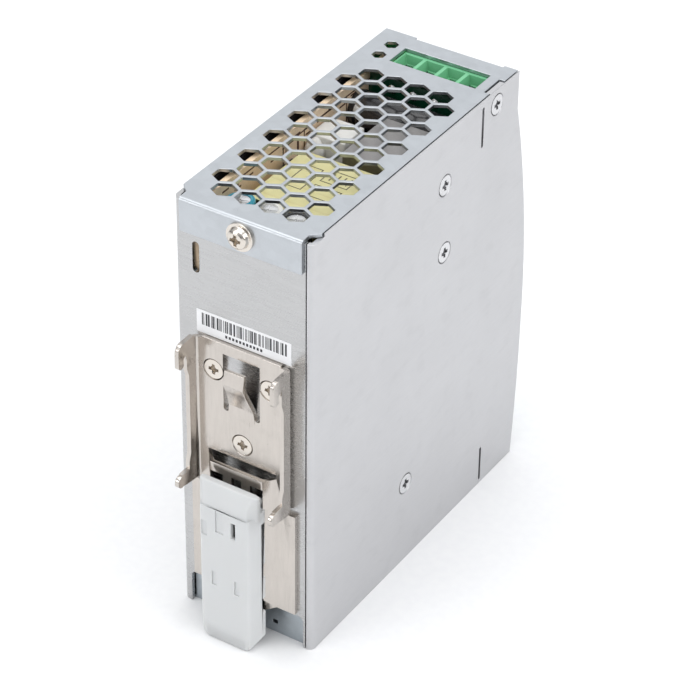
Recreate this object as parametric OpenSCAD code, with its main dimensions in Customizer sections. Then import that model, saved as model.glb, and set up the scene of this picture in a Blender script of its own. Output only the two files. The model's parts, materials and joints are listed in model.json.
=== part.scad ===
// DIN rail power supply, slim metal case with a clip-on rail bracket.
// Frame: X is the width, -Y is the terminal front, +Y the rail side, +Z up.
// Lengths in millimetres. Inside the modules Y = 0 is the rear wall's outer
// face; place() moves that face to rear_y so the whole part is centred on Y.

/* [Case] */
// Width of the case
case_w = 40.0; // [36:0.5:50]
// Height of the case
case_h = 125.2; // [110:0.2:140]
// Thickness of the aluminium walls
wall_t = 1.2; // [0.8:0.1:2]
// Thickness of the galvanised covers
cover_t = 1.0; // [0.6:0.1:1.6]
// Depth of the case at its top and under the top terminal
top_depth = 95.8; // [85:0.1:105]
// Depth of the case at the belly of the curved front
belly_depth = 103.6; // [90:0.1:115]
// Height of the belly
belly_z = 52; // [30:1:80]
// Radius of the curved front above the belly
upper_r = 250; // [150:5:400]
// Radius of the curved front below the belly
lower_r = 560; // [300:10:900]
// Outer radius of the bend at the chassis corner
chassis_bend_r = 2.0; // [1.4:0.1:3]
// Outer radius of the bend at the side cover's rear corner
cover_bend_r = 1.6; // [1.3:0.1:3]
// Height of the cut-out at the foot of the rear wall
foot_cut_h = 9.9; // [6:0.1:14]
// Height of the top cover's rear flange
flange_h = 9.4; // [6:0.1:14]

/* [Vents] */
// Pitch of the honeycomb
vent_pitch = 6.85; // [5:0.01:9]
// Distance between two rows of cells
vent_row = 5.45; // [4:0.01:8]
// Width of a honeycomb cell across its flats
vent_af = 5.95; // [4:0.05:8]
// Length of a cell against that of a regular hexagon
vent_flat = 0.905; // [0.8:0.005:1.1]
// Distance from the rear face to the first row of cells
vent_first = 7.8; // [6:0.1:15]
// Number of rows of cells
vent_rows = 13; // [5:2:15]
// Width across flats of the two lone cells beside the terminal
lone_af = 3.4; // [2:0.1:5]

/* [Terminals] */
// Pitch of the output terminal
dc_pitch = 6.35; // [5:0.05:8]
// Number of output ways
dc_ways = 4; // [2:1:5]
// X of the middle of the output terminal
dc_x = -2.4; // [-6:0.1:6]
// Pitch of the input terminal
ac_pitch = 7.62; // [5:0.01:10]
// Number of input ways
ac_ways = 3; // [2:1:4]
// Travel of a wire clamp on its screw
clamp_travel = 2.5; // [1:0.1:3]

/* [Rail clip] */
// Thickness of the bracket sheet
clip_t = 1.2; // [0.8:0.1:2]
// Half width over the bracket's two flanges
clip_half_w = 14.5; // [10:0.1:18]
// Height of the bracket's top edge
clip_top_z = 87.4; // [80:0.1:100]
// Depth of the face that the rail sits on
seat_y = 5.2; // [3:0.1:8]
// Height of the rail's top edge in the hooks
rail_top_z = 83.2; // [70:0.1:95]
// Width of the rail
rail_w = 35.0; // [35:0.1:35]
// Depth of the raised channel the latch rides on
channel_y = 4.1; // [3:0.1:5]
// Depth of the latch's outer face
latch_y = 9.8; // [8:0.1:13]
// Height of the latch's top edge
latch_top_z = 50.0; // [47:0.1:53]
// Outside diameter of the latch spring
spring_d = 2.2; // [1.6:0.1:2.6]
// Coils in the latch spring
spring_turns = 9; // [5:1:14]

/* [Boards] */
// X of the main board's component face
board_x = 14.0; // [12:0.1:15]
// Thickness of the circuit boards
board_t = 1.6; // [1:0.1:2]

/* [Output] */
// Smoothness of round features
smooth = 48; // [24:8:96]

/* [Hidden] */
half_w = case_w / 2;
label_t = 0.25;
foot_y = 10.1;
rear_y = (belly_depth + label_t - foot_y) / 2;
inner_x = half_w - wall_t;
lid_x = inner_x - 0.1;
wall_z = case_h - cover_t - 0.1;
plate_left = half_w - 0.05;
plate_right = -half_w + 0.5;
rail_low_z = rail_top_z - rail_w;
dc_w = dc_pitch * dc_ways;
ac_w = ac_pitch * ac_ways;
dc_back = 79.6;
dc_front = 94.4;
dc_low = 110.6;
dc_high = 124.0;
ac_back = 85.4;
ac_front = 100.2;
ac_low = 3.6;
ac_high = 17.0;
aux_x = 13.6;
rect_z = [88.4, 99.6];
side_pts = [[-84.8, 120.6], [-60.1, 109.4], [-60.8, 89.0], [-44.6, 25.5]];
left_pts = [[-60.0, 120.4], [-20.0, 120.4], [-60.0, 5.0], [-20.0, 5.0]];
clip_pts = [[8.3, 78.6], [-8.3, 78.6], [0, 58.7]];
post_pts = [[-7, 12], [-7, 96], [-66, 38], [-44.9, 111]];
coil_steps = 12;
wire_r = 0.2;
coil_h = 13.6;
coil_n = coil_steps * spring_turns;
eps = 0.01;
$fn = smooth;

// ---------------------------------------------------------------- helpers
module place() {
  translate([0, rear_y, 0])
    children();
}

module box(a, b) {
  translate(a)
    cube([b[0] - a[0], b[1] - a[1], b[2] - a[2]]);
}

// A rod along X between two x values.
module rod_x(x0, x1, y, z, r) {
  translate([x0, y, z])
    rotate([0, 90, 0])
      cylinder(r = r, h = x1 - x0);
}

// A rod along Y between two y values.
module rod_y(y0, y1, x, z, r) {
  translate([x, y1, z])
    rotate([90, 0, 0])
      cylinder(r = r, h = y1 - y0);
}

module rod_z(z0, z1, x, y, r) {
  translate([x, y, z0])
    cylinder(r = r, h = z1 - z0);
}

// Everything behind the curved front, set back by off, for x0 to x1.
module front_solid(off, x0, x1, z0, z1) {
  intersection() {
    box([x0, -belly_depth - 2, z0], [x1, 0, min(belly_z, z1)]);
    rod_x(x0, x1, lower_r - belly_depth, belly_z, lower_r - off, $fn = 256);
  }
  intersection() {
    box([x0, -belly_depth - 2, belly_z], [x1, 0, z1]);
    rod_x(x0, x1, upper_r - belly_depth, belly_z, upper_r - off, $fn = 256);
  }
  box([x0, -top_depth + off, max(belly_z, z0)], [x1, 0, z1]);
}

// A cross recess for a drill-point driver, cut down from z = 0.
module cross_cut(w, d) {
  for (a = [0, 90])
    rotate([0, 0, a])
      translate([-w / 2, -0.45, -d])
        cube([w, 0.9, d + 1]);
  translate([0, 0, -d - 0.3])
    cylinder(r1 = 0.3, r2 = 0.95, h = d + 0.31, $fn = 24);
}

// Countersunk M3: head face at z = 0, shank down.
module csk_screw(len, head_d = 5.5) {
  difference() {
    union() {
      translate([0, 0, -0.2])
        cylinder(d = head_d, h = 0.2);
      translate([0, 0, -1.3])
        cylinder(r1 = 1.5, r2 = head_d / 2, h = 1.1);
      translate([0, 0, -len])
        cylinder(r = 1.5, h = len - 1.25);
    }
    cross_cut(2.9, 1.2);
  }
}

// Room for a countersunk screw, with its face at z = 0.
module csk_hole(deep, d = 6.1) {
  translate([0, 0, -0.25])
    cylinder(d = d, h = 2);
  translate([0, 0, -1.36])
    cylinder(r1 = 1.62, r2 = d / 2, h = 1.12);
  translate([0, 0, -deep])
    cylinder(r = 1.62, h = deep);
}

module to_rear(x, y, z) {
  translate([x, y, z])
    rotate([-90, 0, 0])
      children();
}

module to_left(x, y, z) {
  translate([x, y, z])
    rotate([0, -90, 0])
      children();
}

module to_right(x, y, z) {
  translate([x, y, z])
    rotate([0, 90, 0])
      children();
}

// ------------------------------------------------------------------ vents
module cell(af, z0, z1, flat = 1) {
  h = af / 2 / cos(30) * flat;
  translate([0, 0, z0])
    linear_extrude(height = z1 - z0)
      polygon([[af / 2, h / 2], [0, h], [-af / 2, h / 2],
               [-af / 2, -h / 2], [0, -h], [af / 2, -h / 2]]);
}

module vent_field(z0, z1, first, rows) {
  for (k = [0 : rows - 1]) {
    n = k % 2 == 0 ? 4 : 5;
    for (i = [0 : n - 1])
      translate([(i - (n - 1) / 2) * vent_pitch + 0.14,
                 -first - k * vent_row, 0])
        cell(vent_af, z0, z1, vent_flat);
  }
}

// ------------------------------------------------------------------- case
module chassis() color([0.80, 0.80, 0.81]) place()
  difference() {
    union() {
      // left wall, cut to the curved front
      intersection() {
        box([inner_x, -belly_depth - 1, 0],
            [half_w, -chassis_bend_r, wall_z]);
        front_solid(0, inner_x, half_w, 0, wall_z);
      }
      // rounded rear corner
      difference() {
        intersection() {
          rod_z(0, wall_z, half_w - chassis_bend_r, -chassis_bend_r,
                chassis_bend_r);
          box([half_w - chassis_bend_r, -chassis_bend_r - eps, 0],
              [half_w, 0, wall_z]);
        }
        rod_z(-1, case_h + 1, half_w - chassis_bend_r, -chassis_bend_r,
              chassis_bend_r - wall_t);
      }
      // rear wall
      box([-half_w + 2.1, -wall_t, 0],
          [half_w - chassis_bend_r, 0, wall_z]);
    }
    // foot cut-out with rounded top corners
    box([-17.3, -3, -1], [17.3, 1, foot_cut_h - 1.5]);
    box([-15.8, -3, -1], [15.8, 1, foot_cut_h]);
    for (s = [-1, 1])
      rod_y(-3, 1, s * 15.8, foot_cut_h - 1.5, 1.5);
    // slot beside the label
    box([12.6, -3, 105.6], [14.6, 1, 112.4]);
    for (z = [105.6, 112.4])
      rod_y(-3, 1, 13.6, z, 1.0);
    rod_y(-3, 1, -0.3, 120.5, 1.62);
    for (p = clip_pts)
      rod_y(-3, 1, p[0], p[1], 1.85);
    for (p = left_pts)
      to_right(half_w, p[0], p[1])
        csk_hole(4);
  }

module side_cover() color([0.84, 0.84, 0.85]) place()
  difference() {
    union() {
      intersection() {
        box([-half_w, -belly_depth - 1, 0],
            [-inner_x, -cover_bend_r, wall_z]);
        front_solid(0, -half_w, -inner_x, 0, wall_z);
      }
      // thin lip along the edge of the top cover's plate
      intersection() {
        box([-half_w, -belly_depth - 1, wall_z - 0.5],
            [-half_w + 0.25, -4.9, case_h - 0.05]);
        front_solid(0, -half_w, -inner_x, 0, case_h);
      }
      difference() {
        intersection() {
          rod_z(0, wall_z, -half_w + cover_bend_r, -cover_bend_r,
                cover_bend_r);
          box([-half_w, -cover_bend_r - eps, 0],
              [-half_w + cover_bend_r, 0, wall_z]);
        }
        rod_z(-1, case_h + 1, -half_w + cover_bend_r, -cover_bend_r,
              cover_bend_r - wall_t);
      }
      // lip that closes towards the rear wall
      box([-half_w + cover_bend_r - eps, -wall_t, 0],
          [-half_w + 1.85, 0, wall_z]);
      // tab that hooks into the notch of the top cover
      box([-half_w + 0.2, -88.8, wall_z - 0.4],
          [-18.2, -81.8, case_h - 0.35]);
    }
    for (p = side_pts)
      to_left(-half_w, p[0], p[1])
        csk_hole(4);
    for (s = [[-77.8, 117.2, 5.4], [-84.0, 6.8, 5.0]]) {
      box([-half_w - 1, s[0] - 0.5, s[1] - s[2]],
          [-inner_x + 1, s[0] + 0.5, s[1] + s[2]]);
      for (e = [-1, 1])
        rod_x(-half_w - 1, -inner_x + 1, s[0], s[1] + e * s[2], 0.5,
              $fn = 24);
    }
  }

module top_cover() color([0.74, 0.77, 0.80]) place()
  difference() {
    union() {
      // plate over the walls, with ears left and right of the terminal
      translate([0, 0, case_h - cover_t])
        linear_extrude(height = cover_t)
          polygon([[17.5, 0.1], [17.5, -2.3], [plate_left, -4.4],
                   [plate_left, -top_depth + 0.1],
                   [10.6, -top_depth + 0.1], [10.6, -top_depth + 0.9],
                   [-15.6, -top_depth + 0.9], [-15.6, -top_depth + 0.1],
                   [plate_right, -top_depth + 0.1], [plate_right, -4.4],
                   [-17.5, -2.3], [-17.5, 0.1]]);
      // bend and flange outside the rear wall
      intersection() {
        rod_x(-17.5, 17.5, 0.1, case_h - cover_t, cover_t);
        box([-17.5, 0.1 - eps, case_h - cover_t - eps],
            [17.5, 2, case_h]);
      }
      box([-17.5, 0.1, case_h - flange_h],
          [17.5, 0.1 + cover_t, case_h - cover_t + eps]);
      // side flanges inside the walls
      for (s = [-1, 1])
        box([s > 0 ? lid_x - cover_t : -lid_x, -93, case_h - 8.6],
            [s > 0 ? lid_x : -lid_x + cover_t, -8, case_h - cover_t + eps]);
    }
    vent_field(case_h - 2, case_h + 1, vent_first, vent_rows);
    for (y = [-82.9, -89.0])
      translate([14.2, y, 0])
        cell(lone_af, case_h - 2, case_h + 1);
    // window over the output terminal
    box([-15.1, -89.6, case_h - 2], [10.3, -81.7, case_h + 1]);
    // notch for the side cover's tab
    box([-half_w, -89.1, case_h - 1.7], [-17.9, -81.4, case_h + 1]);
    rod_y(-3, 3, -0.3, 120.5, 1.62);
    to_left(-lid_x, side_pts[0][0], side_pts[0][1])
      translate([0, 0, -3])
        cylinder(r = 1.62, h = 5);
    for (p = [left_pts[0], left_pts[1]])
      rod_x(lid_x - 3, lid_x + 1, p[0], p[1], 1.62);
  }

module bottom_cover() color([0.72, 0.76, 0.79]) place()
  difference() {
    union() {
      box([-lid_x, -99.6, 0], [lid_x, -1.4, cover_t]);
      box([-17.1, -2.4, 0], [17.1, -1.4, foot_cut_h + 1.6]);
      for (s = [-1, 1])
        box([s > 0 ? lid_x - cover_t : -lid_x, -78, 0],
            [s > 0 ? lid_x : -lid_x + cover_t, -8, 9]);
    }
    vent_field(-1, cover_t + 1, vent_first + 1.6, 11);
    box([-ac_w / 2, -96.4, -1], [ac_w / 2, -88.6, cover_t + 1]);
    box([-8.6, -3, 2.9], [-7.0, -1, 4.0]);
    for (p = [left_pts[2], left_pts[3]])
      rod_x(lid_x - 3, lid_x + 1, p[0], p[1], 1.62);
  }

module front_panel() color([0.83, 0.83, 0.84]) place()
  difference() {
    union() {
      difference() {
        front_solid(0, -lid_x, lid_x, cover_t + 0.1, case_h - cover_t - 0.1);
        front_solid(wall_t, -lid_x - 1, lid_x + 1, 0, case_h);
        box([-half_w, -80, -1], [half_w, 1, case_h + 1]);
      }
      // side flanges
      for (s = [-1, 1])
        intersection() {
          box([s > 0 ? lid_x - 1 : -lid_x, -belly_depth - 1, 20],
              [s > 0 ? lid_x : -lid_x + 1, -92, 104]);
          front_solid(0.4, -lid_x - 1, lid_x + 1, 20, 104);
        }
    }
    box([-15.3, -110, 112.0], [10.5, -90, 122.6]);
    box([-ac_w / 2 - 0.2, -110, 5.4], [ac_w / 2 + 0.2, -90, 15.8]);
    rod_y(-110, -90, aux_x, 117.6, 1.75);
    rod_y(-110, -90, aux_x, 108.8, 2.3);
  }

module front_label() color([0.90, 0.91, 0.92]) place()
  difference() {
    front_solid(-label_t, -16.6, 16.6, 19, 104);
    front_solid(0, -20, 20, 0, case_h);
    box([-half_w, -80, -1], [half_w, 1, case_h + 1]);
  }

module code_label() color([0.96, 0.96, 0.96]) place()
  box([-13.9, 0, 87.6], [13.7, 0.12, 94.2]);

// -------------------------------------------------------------- rail clip
// One flange of the bracket, drawn in the (y, z) plane.
module flange_shape() {
  difference() {
    union() {
      // web from the base to the rail seat, hook and foot in one outline
      polygon([[0, 43.8], [3.0, 43.8], [7.6, 44.5], [8.4, 49.4],
               [seat_y, 50.4], [4.4, 53], [4.4, 76.5], [seat_y, 79.0],
               [seat_y, 84], [6.4, 82.0], [6.4, 81.2], [8.6, 81.2],
               [8.6, 85.0], [6.9, clip_top_z], [0, clip_top_z]]);
      translate([6.5, clip_top_z - 2.1])
        circle(r = 2.1);
      translate([7.5, 81.4])
        circle(r = 1.1);
      translate([foot_y - 1.7, 46.2])
        circle(r = 1.7);
    }
    // slot for the rail's lip, with a round root
    translate([seat_y, 78.8])
      square([1.3, rail_top_z - 78.8 - 0.65]);
    translate([seat_y + 0.65, rail_top_z - 0.65])
      circle(r = 0.65, $fn = 24);
    // the rail's own space
    translate([seat_y, rail_low_z])
      square([6, 80.0 - rail_low_z]);
    translate([8.0, clip_top_z - 0.9])
      square([3, 3]);
  }
}

module flange_plate(x0, x1) {
  translate([x0, 0, 0])
    rotate([90, 0, 90])
      linear_extrude(height = x1 - x0)
        flange_shape();
}

// Section of the raised channel, drawn in (x, y): sheet clip_t thick.
module channel_section(grow) {
  t = clip_t;
  polygon([[-10.6, 0], [-10.6, t + grow], [-10.1, t + grow],
           [-7.8, channel_y + grow], [7.8, channel_y + grow],
           [10.1, t + grow], [10.6, t + grow], [10.6, 0]]);
}

module channel() {
  difference() {
    translate([0, 0, 11])
      linear_extrude(height = 41.4)
        channel_section(0);
    translate([0, 0, 10])
      linear_extrude(height = 44)
        polygon([[-9.9, -1], [-9.9, 0.2], [-7.3, channel_y - clip_t],
                 [7.3, channel_y - clip_t], [9.9, 0.2], [9.9, -1]]);
  }
}

module din_bracket() color([0.78, 0.75, 0.71]) place()
  difference() {
    union() {
      difference() {
        union() {
          // base plate and lower wings
          box([-clip_half_w + 2.0, 0, 43.8],
              [clip_half_w - 2.0, clip_t, clip_top_z - 0.6]);
          box([-11.6, 0, 80], [11.6, clip_t, clip_top_z]);
          box([-15.6, 0, 11], [15.6, clip_t, 42.6]);
          box([-12.5, 0, 42], [12.5, clip_t, 44.5]);
        }
        // room for the channel and its open top
        box([-10.2, -1, 10], [10.2, 3, 53.8]);
        // opening round the tongue, with round slit ends
        box([-5.4, -1, 68.4], [5.4, 3, 84.4]);
        for (t = [-1, 1])
          rod_y(-1, 3, t * 4.6, 68.4, 0.8, $fn = 24);
      }
      for (s = [-1, 1]) {
        // bends between the base and the flanges
        difference() {
          intersection() {
            rod_z(43.8, clip_top_z - 0.6, s * (clip_half_w - 2.0), 2.0, 2.0);
            box([s > 0 ? clip_half_w - 2 : -clip_half_w, -1, 43.8],
                [s > 0 ? clip_half_w : -clip_half_w + 2, 2.0, clip_top_z]);
          }
          rod_z(43, clip_top_z, s * (clip_half_w - 2.0), 2.0, 0.8);
        }
      }
      difference() {
        union() {
          flange_plate(clip_half_w - clip_t, clip_half_w);
          flange_plate(-clip_half_w, -clip_half_w + clip_t);
        }
        box([-20, -5, 40], [20, 2.0 - eps, 90]);
      }
      channel();
      // lanced stop for the latch spring
      box([-1.25, 0.4, 25.9], [1.25, channel_y - 0.3, 27.1]);
      // sprung tongue that presses on the rail
      tongue();
    }
    for (p = clip_pts)
      to_rear(p[0], clip_t + 0.02, p[1])
        csk_hole(4);
    // guide slots and windows in the channel
    for (s = [-1, 1]) {
      box([s > 0 ? 4.1 : -7.9, 2, 34.5], [s > 0 ? 7.9 : -4.1, 5, 49.8]);
      box([s > 0 ? 4.1 : -7.9, 2, 14.4], [s > 0 ? 7.9 : -4.1, 5, 26.0]);
    }
    box([-1.45, 2.4, 27.1], [1.45, 5, 49.8]);
  }

// Sprung tongue: a bent strip seen from the side, cut to its tapered plan.
module tongue() {
  intersection() {
    translate([-6, 0, 0])
      rotate([90, 0, 90])
        linear_extrude(height = 12)
          polygon([[0, 66.4], [clip_t, 66.4], [1.5, 70.2], [5.0, 78.4],
                   [4.9, 79.2], [4.2, 82.3], [3.0, 82.1], [3.7, 79.1],
                   [0.3, 70.6], [0, 68.4]]);
    translate([0, 8, 0])
      rotate([90, 0, 0])
        linear_extrude(height = 10)
          polygon([[-3.8, 66.4], [3.8, 66.4], [3.8, 68.4], [2.95, 76],
                   [2.95, 82.5], [-2.95, 82.5], [-2.95, 76], [-3.8, 68.4]]);
  }
}

module latch_outer() {
  hull() {
    box([-8.9, 4.4, 4.0], [8.9, 5.9, 44.5]);
    for (s = [-1, 1]) {
      rod_z(6.0, 43.0, s * 6.6, latch_y - 1.0, 1.0, $fn = 32);
      translate([s * 5.2, 8.0, 2.2])
        rotate([-90, 0, 0])
          cylinder(r = 1.9, h = 1.4, $fn = 32);
    }
    box([-6.6, 4.4, 0.3], [6.6, 8.6, 1.0]);
  }
  // catch that stands behind the rail's lower lip
  hull() {
    box([-8.8, seat_y + 1.1, 42], [8.8, 7.4, latch_top_z - 0.4]);
    box([-7.6, seat_y + 1.1, 42], [7.6, 8.2, latch_top_z]);
    box([-6.6, 6.5, 42], [6.6, latch_y - 0.3, 46.4]);
  }
}

module din_latch() color([0.93, 0.93, 0.92]) place() {
  difference() {
    latch_outer();
    // hollow back of the moulding
    box([-7.4, 3, 28.0], [-4.6, 8.3, 41.0]);
    box([4.6, 3, 28.0], [7.4, 8.3, 41.0]);
    box([-7.4, 3, 6.0], [-0.6, 8.3, 20.4]);
    box([0.6, 3, 6.0], [7.4, 8.3, 20.4]);
    box([-3.2, 3, 14.0], [3.2, 8.3, 40.0]);
    // pocket for the rail's lower lip
    box([-12, 3, rail_low_z - 0.6], [12, seat_y + 1.1, 60]);
    // the small through window and the faint recesses of the face
    box([-3.3, 3, 35.6], [-2.1, 12, 40.6]);
    box([0.2, latch_y - 0.35, 35.8], [2.6, 12, 42.6]);
    box([5.2, latch_y - 0.35, 33.6], [6.9, 12, 38.2]);
    box([2.6, latch_y - 0.35, 18.4], [4.0, 12, 22.8]);
    box([-4.4, latch_y - 0.35, 17.8], [-2.9, 12, 22.2]);
    // reliefs along both side edges
    for (s = [-1, 1])
      for (z = [12.0, 23.2, 36.2])
        box([s > 0 ? 7.9 : -10, 3, z], [s > 0 ? 10 : -7.9, 5.8, z + 4.2]);
  }
  for (s = [-1, 1])
    for (z = [41.2, 21.6]) {
      box([s > 0 ? 4.45 : -7.1, 2.55, z], [s > 0 ? 7.1 : -4.45, 4.6, z + 4.0]);
      box([s > 0 ? 3.5 : -7.1, 1.5, z], [s > 0 ? 7.1 : -3.5, 2.6, z + 4.0]);
    }
  // post that bears on the spring
  box([-1.1, 0.5, 41.3], [1.1, 5.0, 43.6]);
}

// Helical compression spring: a tube of six sides swept round by a loop.
function coil_point(k, j) =
  let (a = 360 * k / coil_steps, b = 60 * j,
       r = spring_d / 2 - wire_r + wire_r * cos(b))
  [r * cos(a), r * sin(a), coil_h * k / coil_n + wire_r * sin(b)];

module latch_spring() color([0.70, 0.70, 0.68]) place()
  translate([0, 1.6, 27.35])
    polyhedron(
      points = [for (k = [0 : coil_n]) for (j = [0 : 5]) coil_point(k, j)],
      faces = concat(
        [for (k = [0 : coil_n - 1]) for (j = [0 : 5])
          [k * 6 + j, k * 6 + (j + 1) % 6, (k + 1) * 6 + (j + 1) % 6]],
        [for (k = [0 : coil_n - 1]) for (j = [0 : 5])
          [k * 6 + j, (k + 1) * 6 + (j + 1) % 6, (k + 1) * 6 + j]],
        [for (j = [1 : 4]) [0, j + 1, j]],
        [for (j = [1 : 4])
          [coil_n * 6, coil_n * 6 + j, coil_n * 6 + j + 1]]));

// -------------------------------------------------------------- fasteners
module bracket_screws() color([0.80, 0.78, 0.74]) place()
  for (p = clip_pts)
    to_rear(p[0], clip_t - 0.1, p[1])
      csk_screw(5.5);

module flange_screw() color([0.78, 0.76, 0.73]) place()
  to_rear(-0.3, 0.1 + cover_t, 120.5)
    difference() {
      union() {
        cylinder(d = 7.6, h = 0.7);
        translate([0, 0, 0.7])
          cylinder(r1 = 2.95, r2 = 2.6, h = 1.2);
        translate([0, 0, 1.9])
          cylinder(r1 = 2.6, r2 = 1.7, h = 0.5);
        translate([0, 0, -5.5])
          cylinder(r = 1.5, h = 5.6);
      }
      translate([0, 0, 2.4])
        cross_cut(3.0, 1.5);
    }

module side_screws() color([0.80, 0.80, 0.80]) place()
  for (p = side_pts)
    to_left(-half_w, p[0], p[1])
      csk_screw(4.6);

module left_screws() color([0.80, 0.80, 0.80]) place()
  for (p = left_pts)
    to_right(half_w, p[0], p[1])
      csk_screw(3.6);

// ----------------------------------------------------------------- boards
module insulation_sheet() color([0.07, 0.07, 0.08]) place()
  difference() {
    union() {
      box([17.0, -77.0, 8.8], [17.3, -3.4, 123.6]);
      // strip beside the output terminal
      box([17.0, -92.0, 119.8], [17.3, -76.9, 123.6]);
    }
    for (p = post_pts)
      rod_x(16, 18, p[0], p[1], 3.0);
    for (p = left_pts)
      rod_x(16, 18, p[0], p[1], 1.9);
  }

module board_holes() {
  for (p = post_pts)
    rod_x(board_x - 1, board_x + board_t + 1, p[0], p[1], 1.7);
}

module main_board() color([0.83, 0.68, 0.50]) place()
  difference() {
    union() {
      box([board_x, -77.9, 4], [board_x + board_t, -3.4, 123.0]);
      box([board_x, -83.7, 4], [board_x + board_t, -77, 32]);
      // edge behind the rear slot, and a tongue beside the output terminal
      box([board_x, -3.5, 13], [board_x + board_t, -1.7, 123.0]);
      box([board_x, -91.0, 119.8], [board_x + board_t, -77, 123.0]);
    }
    board_holes();
  }

module board_posts() color([0.75, 0.72, 0.60]) place()
  for (p = post_pts)
    difference() {
      union() {
        rod_x(board_x + board_t, inner_x, p[0], p[1], 2.8);
        rod_x(board_x - 1.2, board_x + board_t + eps, p[0], p[1], 1.6);
        rod_x(board_x - 1.8, board_x, p[0], p[1], 2.6);
      }
      rod_x(board_x - 3, board_x - 1.0, p[0], p[1], 1.0, $fn = 24);
    }

module output_board() color([0.03, 0.20, 0.13]) place()
  difference() {
    box([-16.8, -dc_back, 84], [17.2, -78.0, 122.6]);
    for (i = [0 : dc_ways - 1])
      rod_y(-81, -77, dc_x + (i - (dc_ways - 1) / 2) * dc_pitch, dc_high - 4.6, 0.75,
            $fn = 24);
    box([board_x - 0.2, -82, 119.6], [20, -77, 124]);
  }

module input_board() color([0.03, 0.20, 0.13]) place()
  difference() {
    box([-16.8, -ac_back, 3.4], [board_x - 0.05, -83.8, 34]);
    for (i = [0 : ac_ways - 1])
      rod_y(-87, -82, (i - (ac_ways - 1) / 2) * ac_pitch, ac_low + 4.6, 0.75,
            $fn = 24);
  }

// ------------------------------------------------------------- components
// E cores whose legs run along X, the centre leg through the winding.
module transformer_core() color([0.20, 0.20, 0.21]) place()
  difference() {
    box([-12.0, -36.4, 88.0], [9.2, -20.6, 119.1]);
    for (z = [91.2, 107.4])
      box([-8.4, -40, z], [5.6, -16, z + 8.8]);
  }

module transformer_winding() color([0.93, 0.88, 0.62]) place()
  difference() {
    box([-8.0, -40.7, 91.5], [5.2, -16.3, 115.9]);
    box([-8.1, -36.6, 99.8], [5.3, -20.4, 107.6]);
    // clear of the outer legs and their ends
    for (z = [88, 116])
      box([-12, -36.6, z - 0.1], [9, -20.4, z + 4]);
  }

module transformer_bobbin() color([0.10, 0.10, 0.10]) place() {
  difference() {
    box([5.25, -40.7, 91.3], [5.55, -16.3, 116.1]);
    box([5, -36.6, 99.8], [6, -20.4, 107.6]);
  }
  // rails on the board, one each side of the core, with the pins
  for (s = [-1, 1])
    difference() {
      box([5.5, -28.5 + s * 10.1 - 2.1, 91.3],
          [board_x - 1.0, -28.5 + s * 10.1 + 2.1, 116.1]);
      box([9, -60, 97], [board_x + 1, 0, 111]);
    }
  for (s = [-1, 1])
    for (z = [93.5, 113.9])
      rod_x(board_x - 1.1, board_x, -28.5 + s * 10.1, z, 0.5, $fn = 16);
}

// Outer wrap of yellow tape round the core's long way.
module transformer_tape() color([0.93, 0.88, 0.62]) place()
  difference() {
    box([-12.35, -41.0, 87.65], [9.55, -16.0, 119.45]);
    box([-12.0, -42.0, 88.0], [9.2, -15.0, 119.1]);
    // the bobbin's rails pass out towards the board
    for (s = [-1, 1])
      box([8, -28.5 + s * 10.1 - 2.5, 91], [10, -28.5 + s * 10.1 + 2.5, 116.4]);
  }

module output_heatsink() color([0.70, 0.70, 0.70]) place()
  difference() {
    union() {
      box([-18.5, -66.0, 82.0], [-16.0, -46.0, 116.3]);
      box([-17.4, -66.0, 116.2], [-16.0, -46.0, 119.0]);
      box([-16.1, -66.0, 117.0], [1.6, -46.0, 119.0]);
      box([-16.1, -48.5, 82.0], [board_x - 0.1, -46.0, 104.0]);
      box([-16.1, -48.5, 103.9], [1.6, -46.0, 117.1]);
    }
    for (p = [side_pts[1], side_pts[2]])
      rod_x(-20, -15, p[0], p[1], 1.62);
    for (z = rect_z)
      rod_y(-50, -45, -0.4, z, 1.6);
  }

module input_heatsink() color([0.70, 0.70, 0.70]) place()
  difference() {
    union() {
      box([-18.5, -62.0, 12.0], [-16.0, -34.5, 44.0]);
      box([-18.5, -34.6, 12.0], [board_x - 0.1, -32.1, 41.6]);
    }
    rod_x(-20, -15, side_pts[3][0], side_pts[3][1], 1.62);
    rod_y(-36, -31, -0.4, 30.0, 1.6);
  }

// A transistor package lying on a heatsink face at y = y0, body to -Y,
// its three legs running to the board.
module package_at(y0, z) {
  difference() {
    union() {
      box([-6.6, y0 - 4.4, z - 5.1], [3.0, y0, z + 5.1]);
      box([-9.6, y0 - 1.3, z - 5.1], [-6.5, y0, z + 5.1]);
      for (k = [-1, 0, 1])
        box([2.9, y0 - 2.9, z + k * 2.54 - 0.4],
            [board_x, y0 - 2.2, z + k * 2.54 + 0.4]);
    }
    rod_y(y0 - 6, y0 + 1, -0.4, z, 1.7);
  }
}

module output_rectifiers() color([0.09, 0.09, 0.09]) place()
  for (z = rect_z)
    package_at(-48.5, z);

module switch_transistor() color([0.09, 0.09, 0.09]) place()
  package_at(-34.6, 30.0);

module device_screws() color([0.75, 0.75, 0.75]) place()
  for (p = [[-48.5, rect_z[0]], [-48.5, rect_z[1]], [-34.6, 30.0]])
    translate([-0.4, p[0] - 4.4, p[1]])
      rotate([90, 0, 0])
        difference() {
          union() {
            cylinder(r1 = 2.8, r2 = 2.3, h = 1.8);
            translate([0, 0, -6.6])
              cylinder(r = 1.5, h = 6.7);
          }
          translate([0, 0, 1.8])
            cross_cut(2.8, 1.1);
        }

module can(x_top, y, z, r, $fn = 40) {
  rod_x(x_top + 0.6, board_x, y, z, r);
  rod_x(x_top, x_top + 0.7, y, z, r - 0.9);
}

module bulk_capacitor() color([0.11, 0.13, 0.20]) place()
  can(-17.2, -18.6, 55.0, 12.4);

module output_capacitors() color([0.07, 0.07, 0.08]) place()
  for (z = [93.0, 104.0, 115.0])
    can(-12.6, -72.2, z, 5.0);

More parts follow.
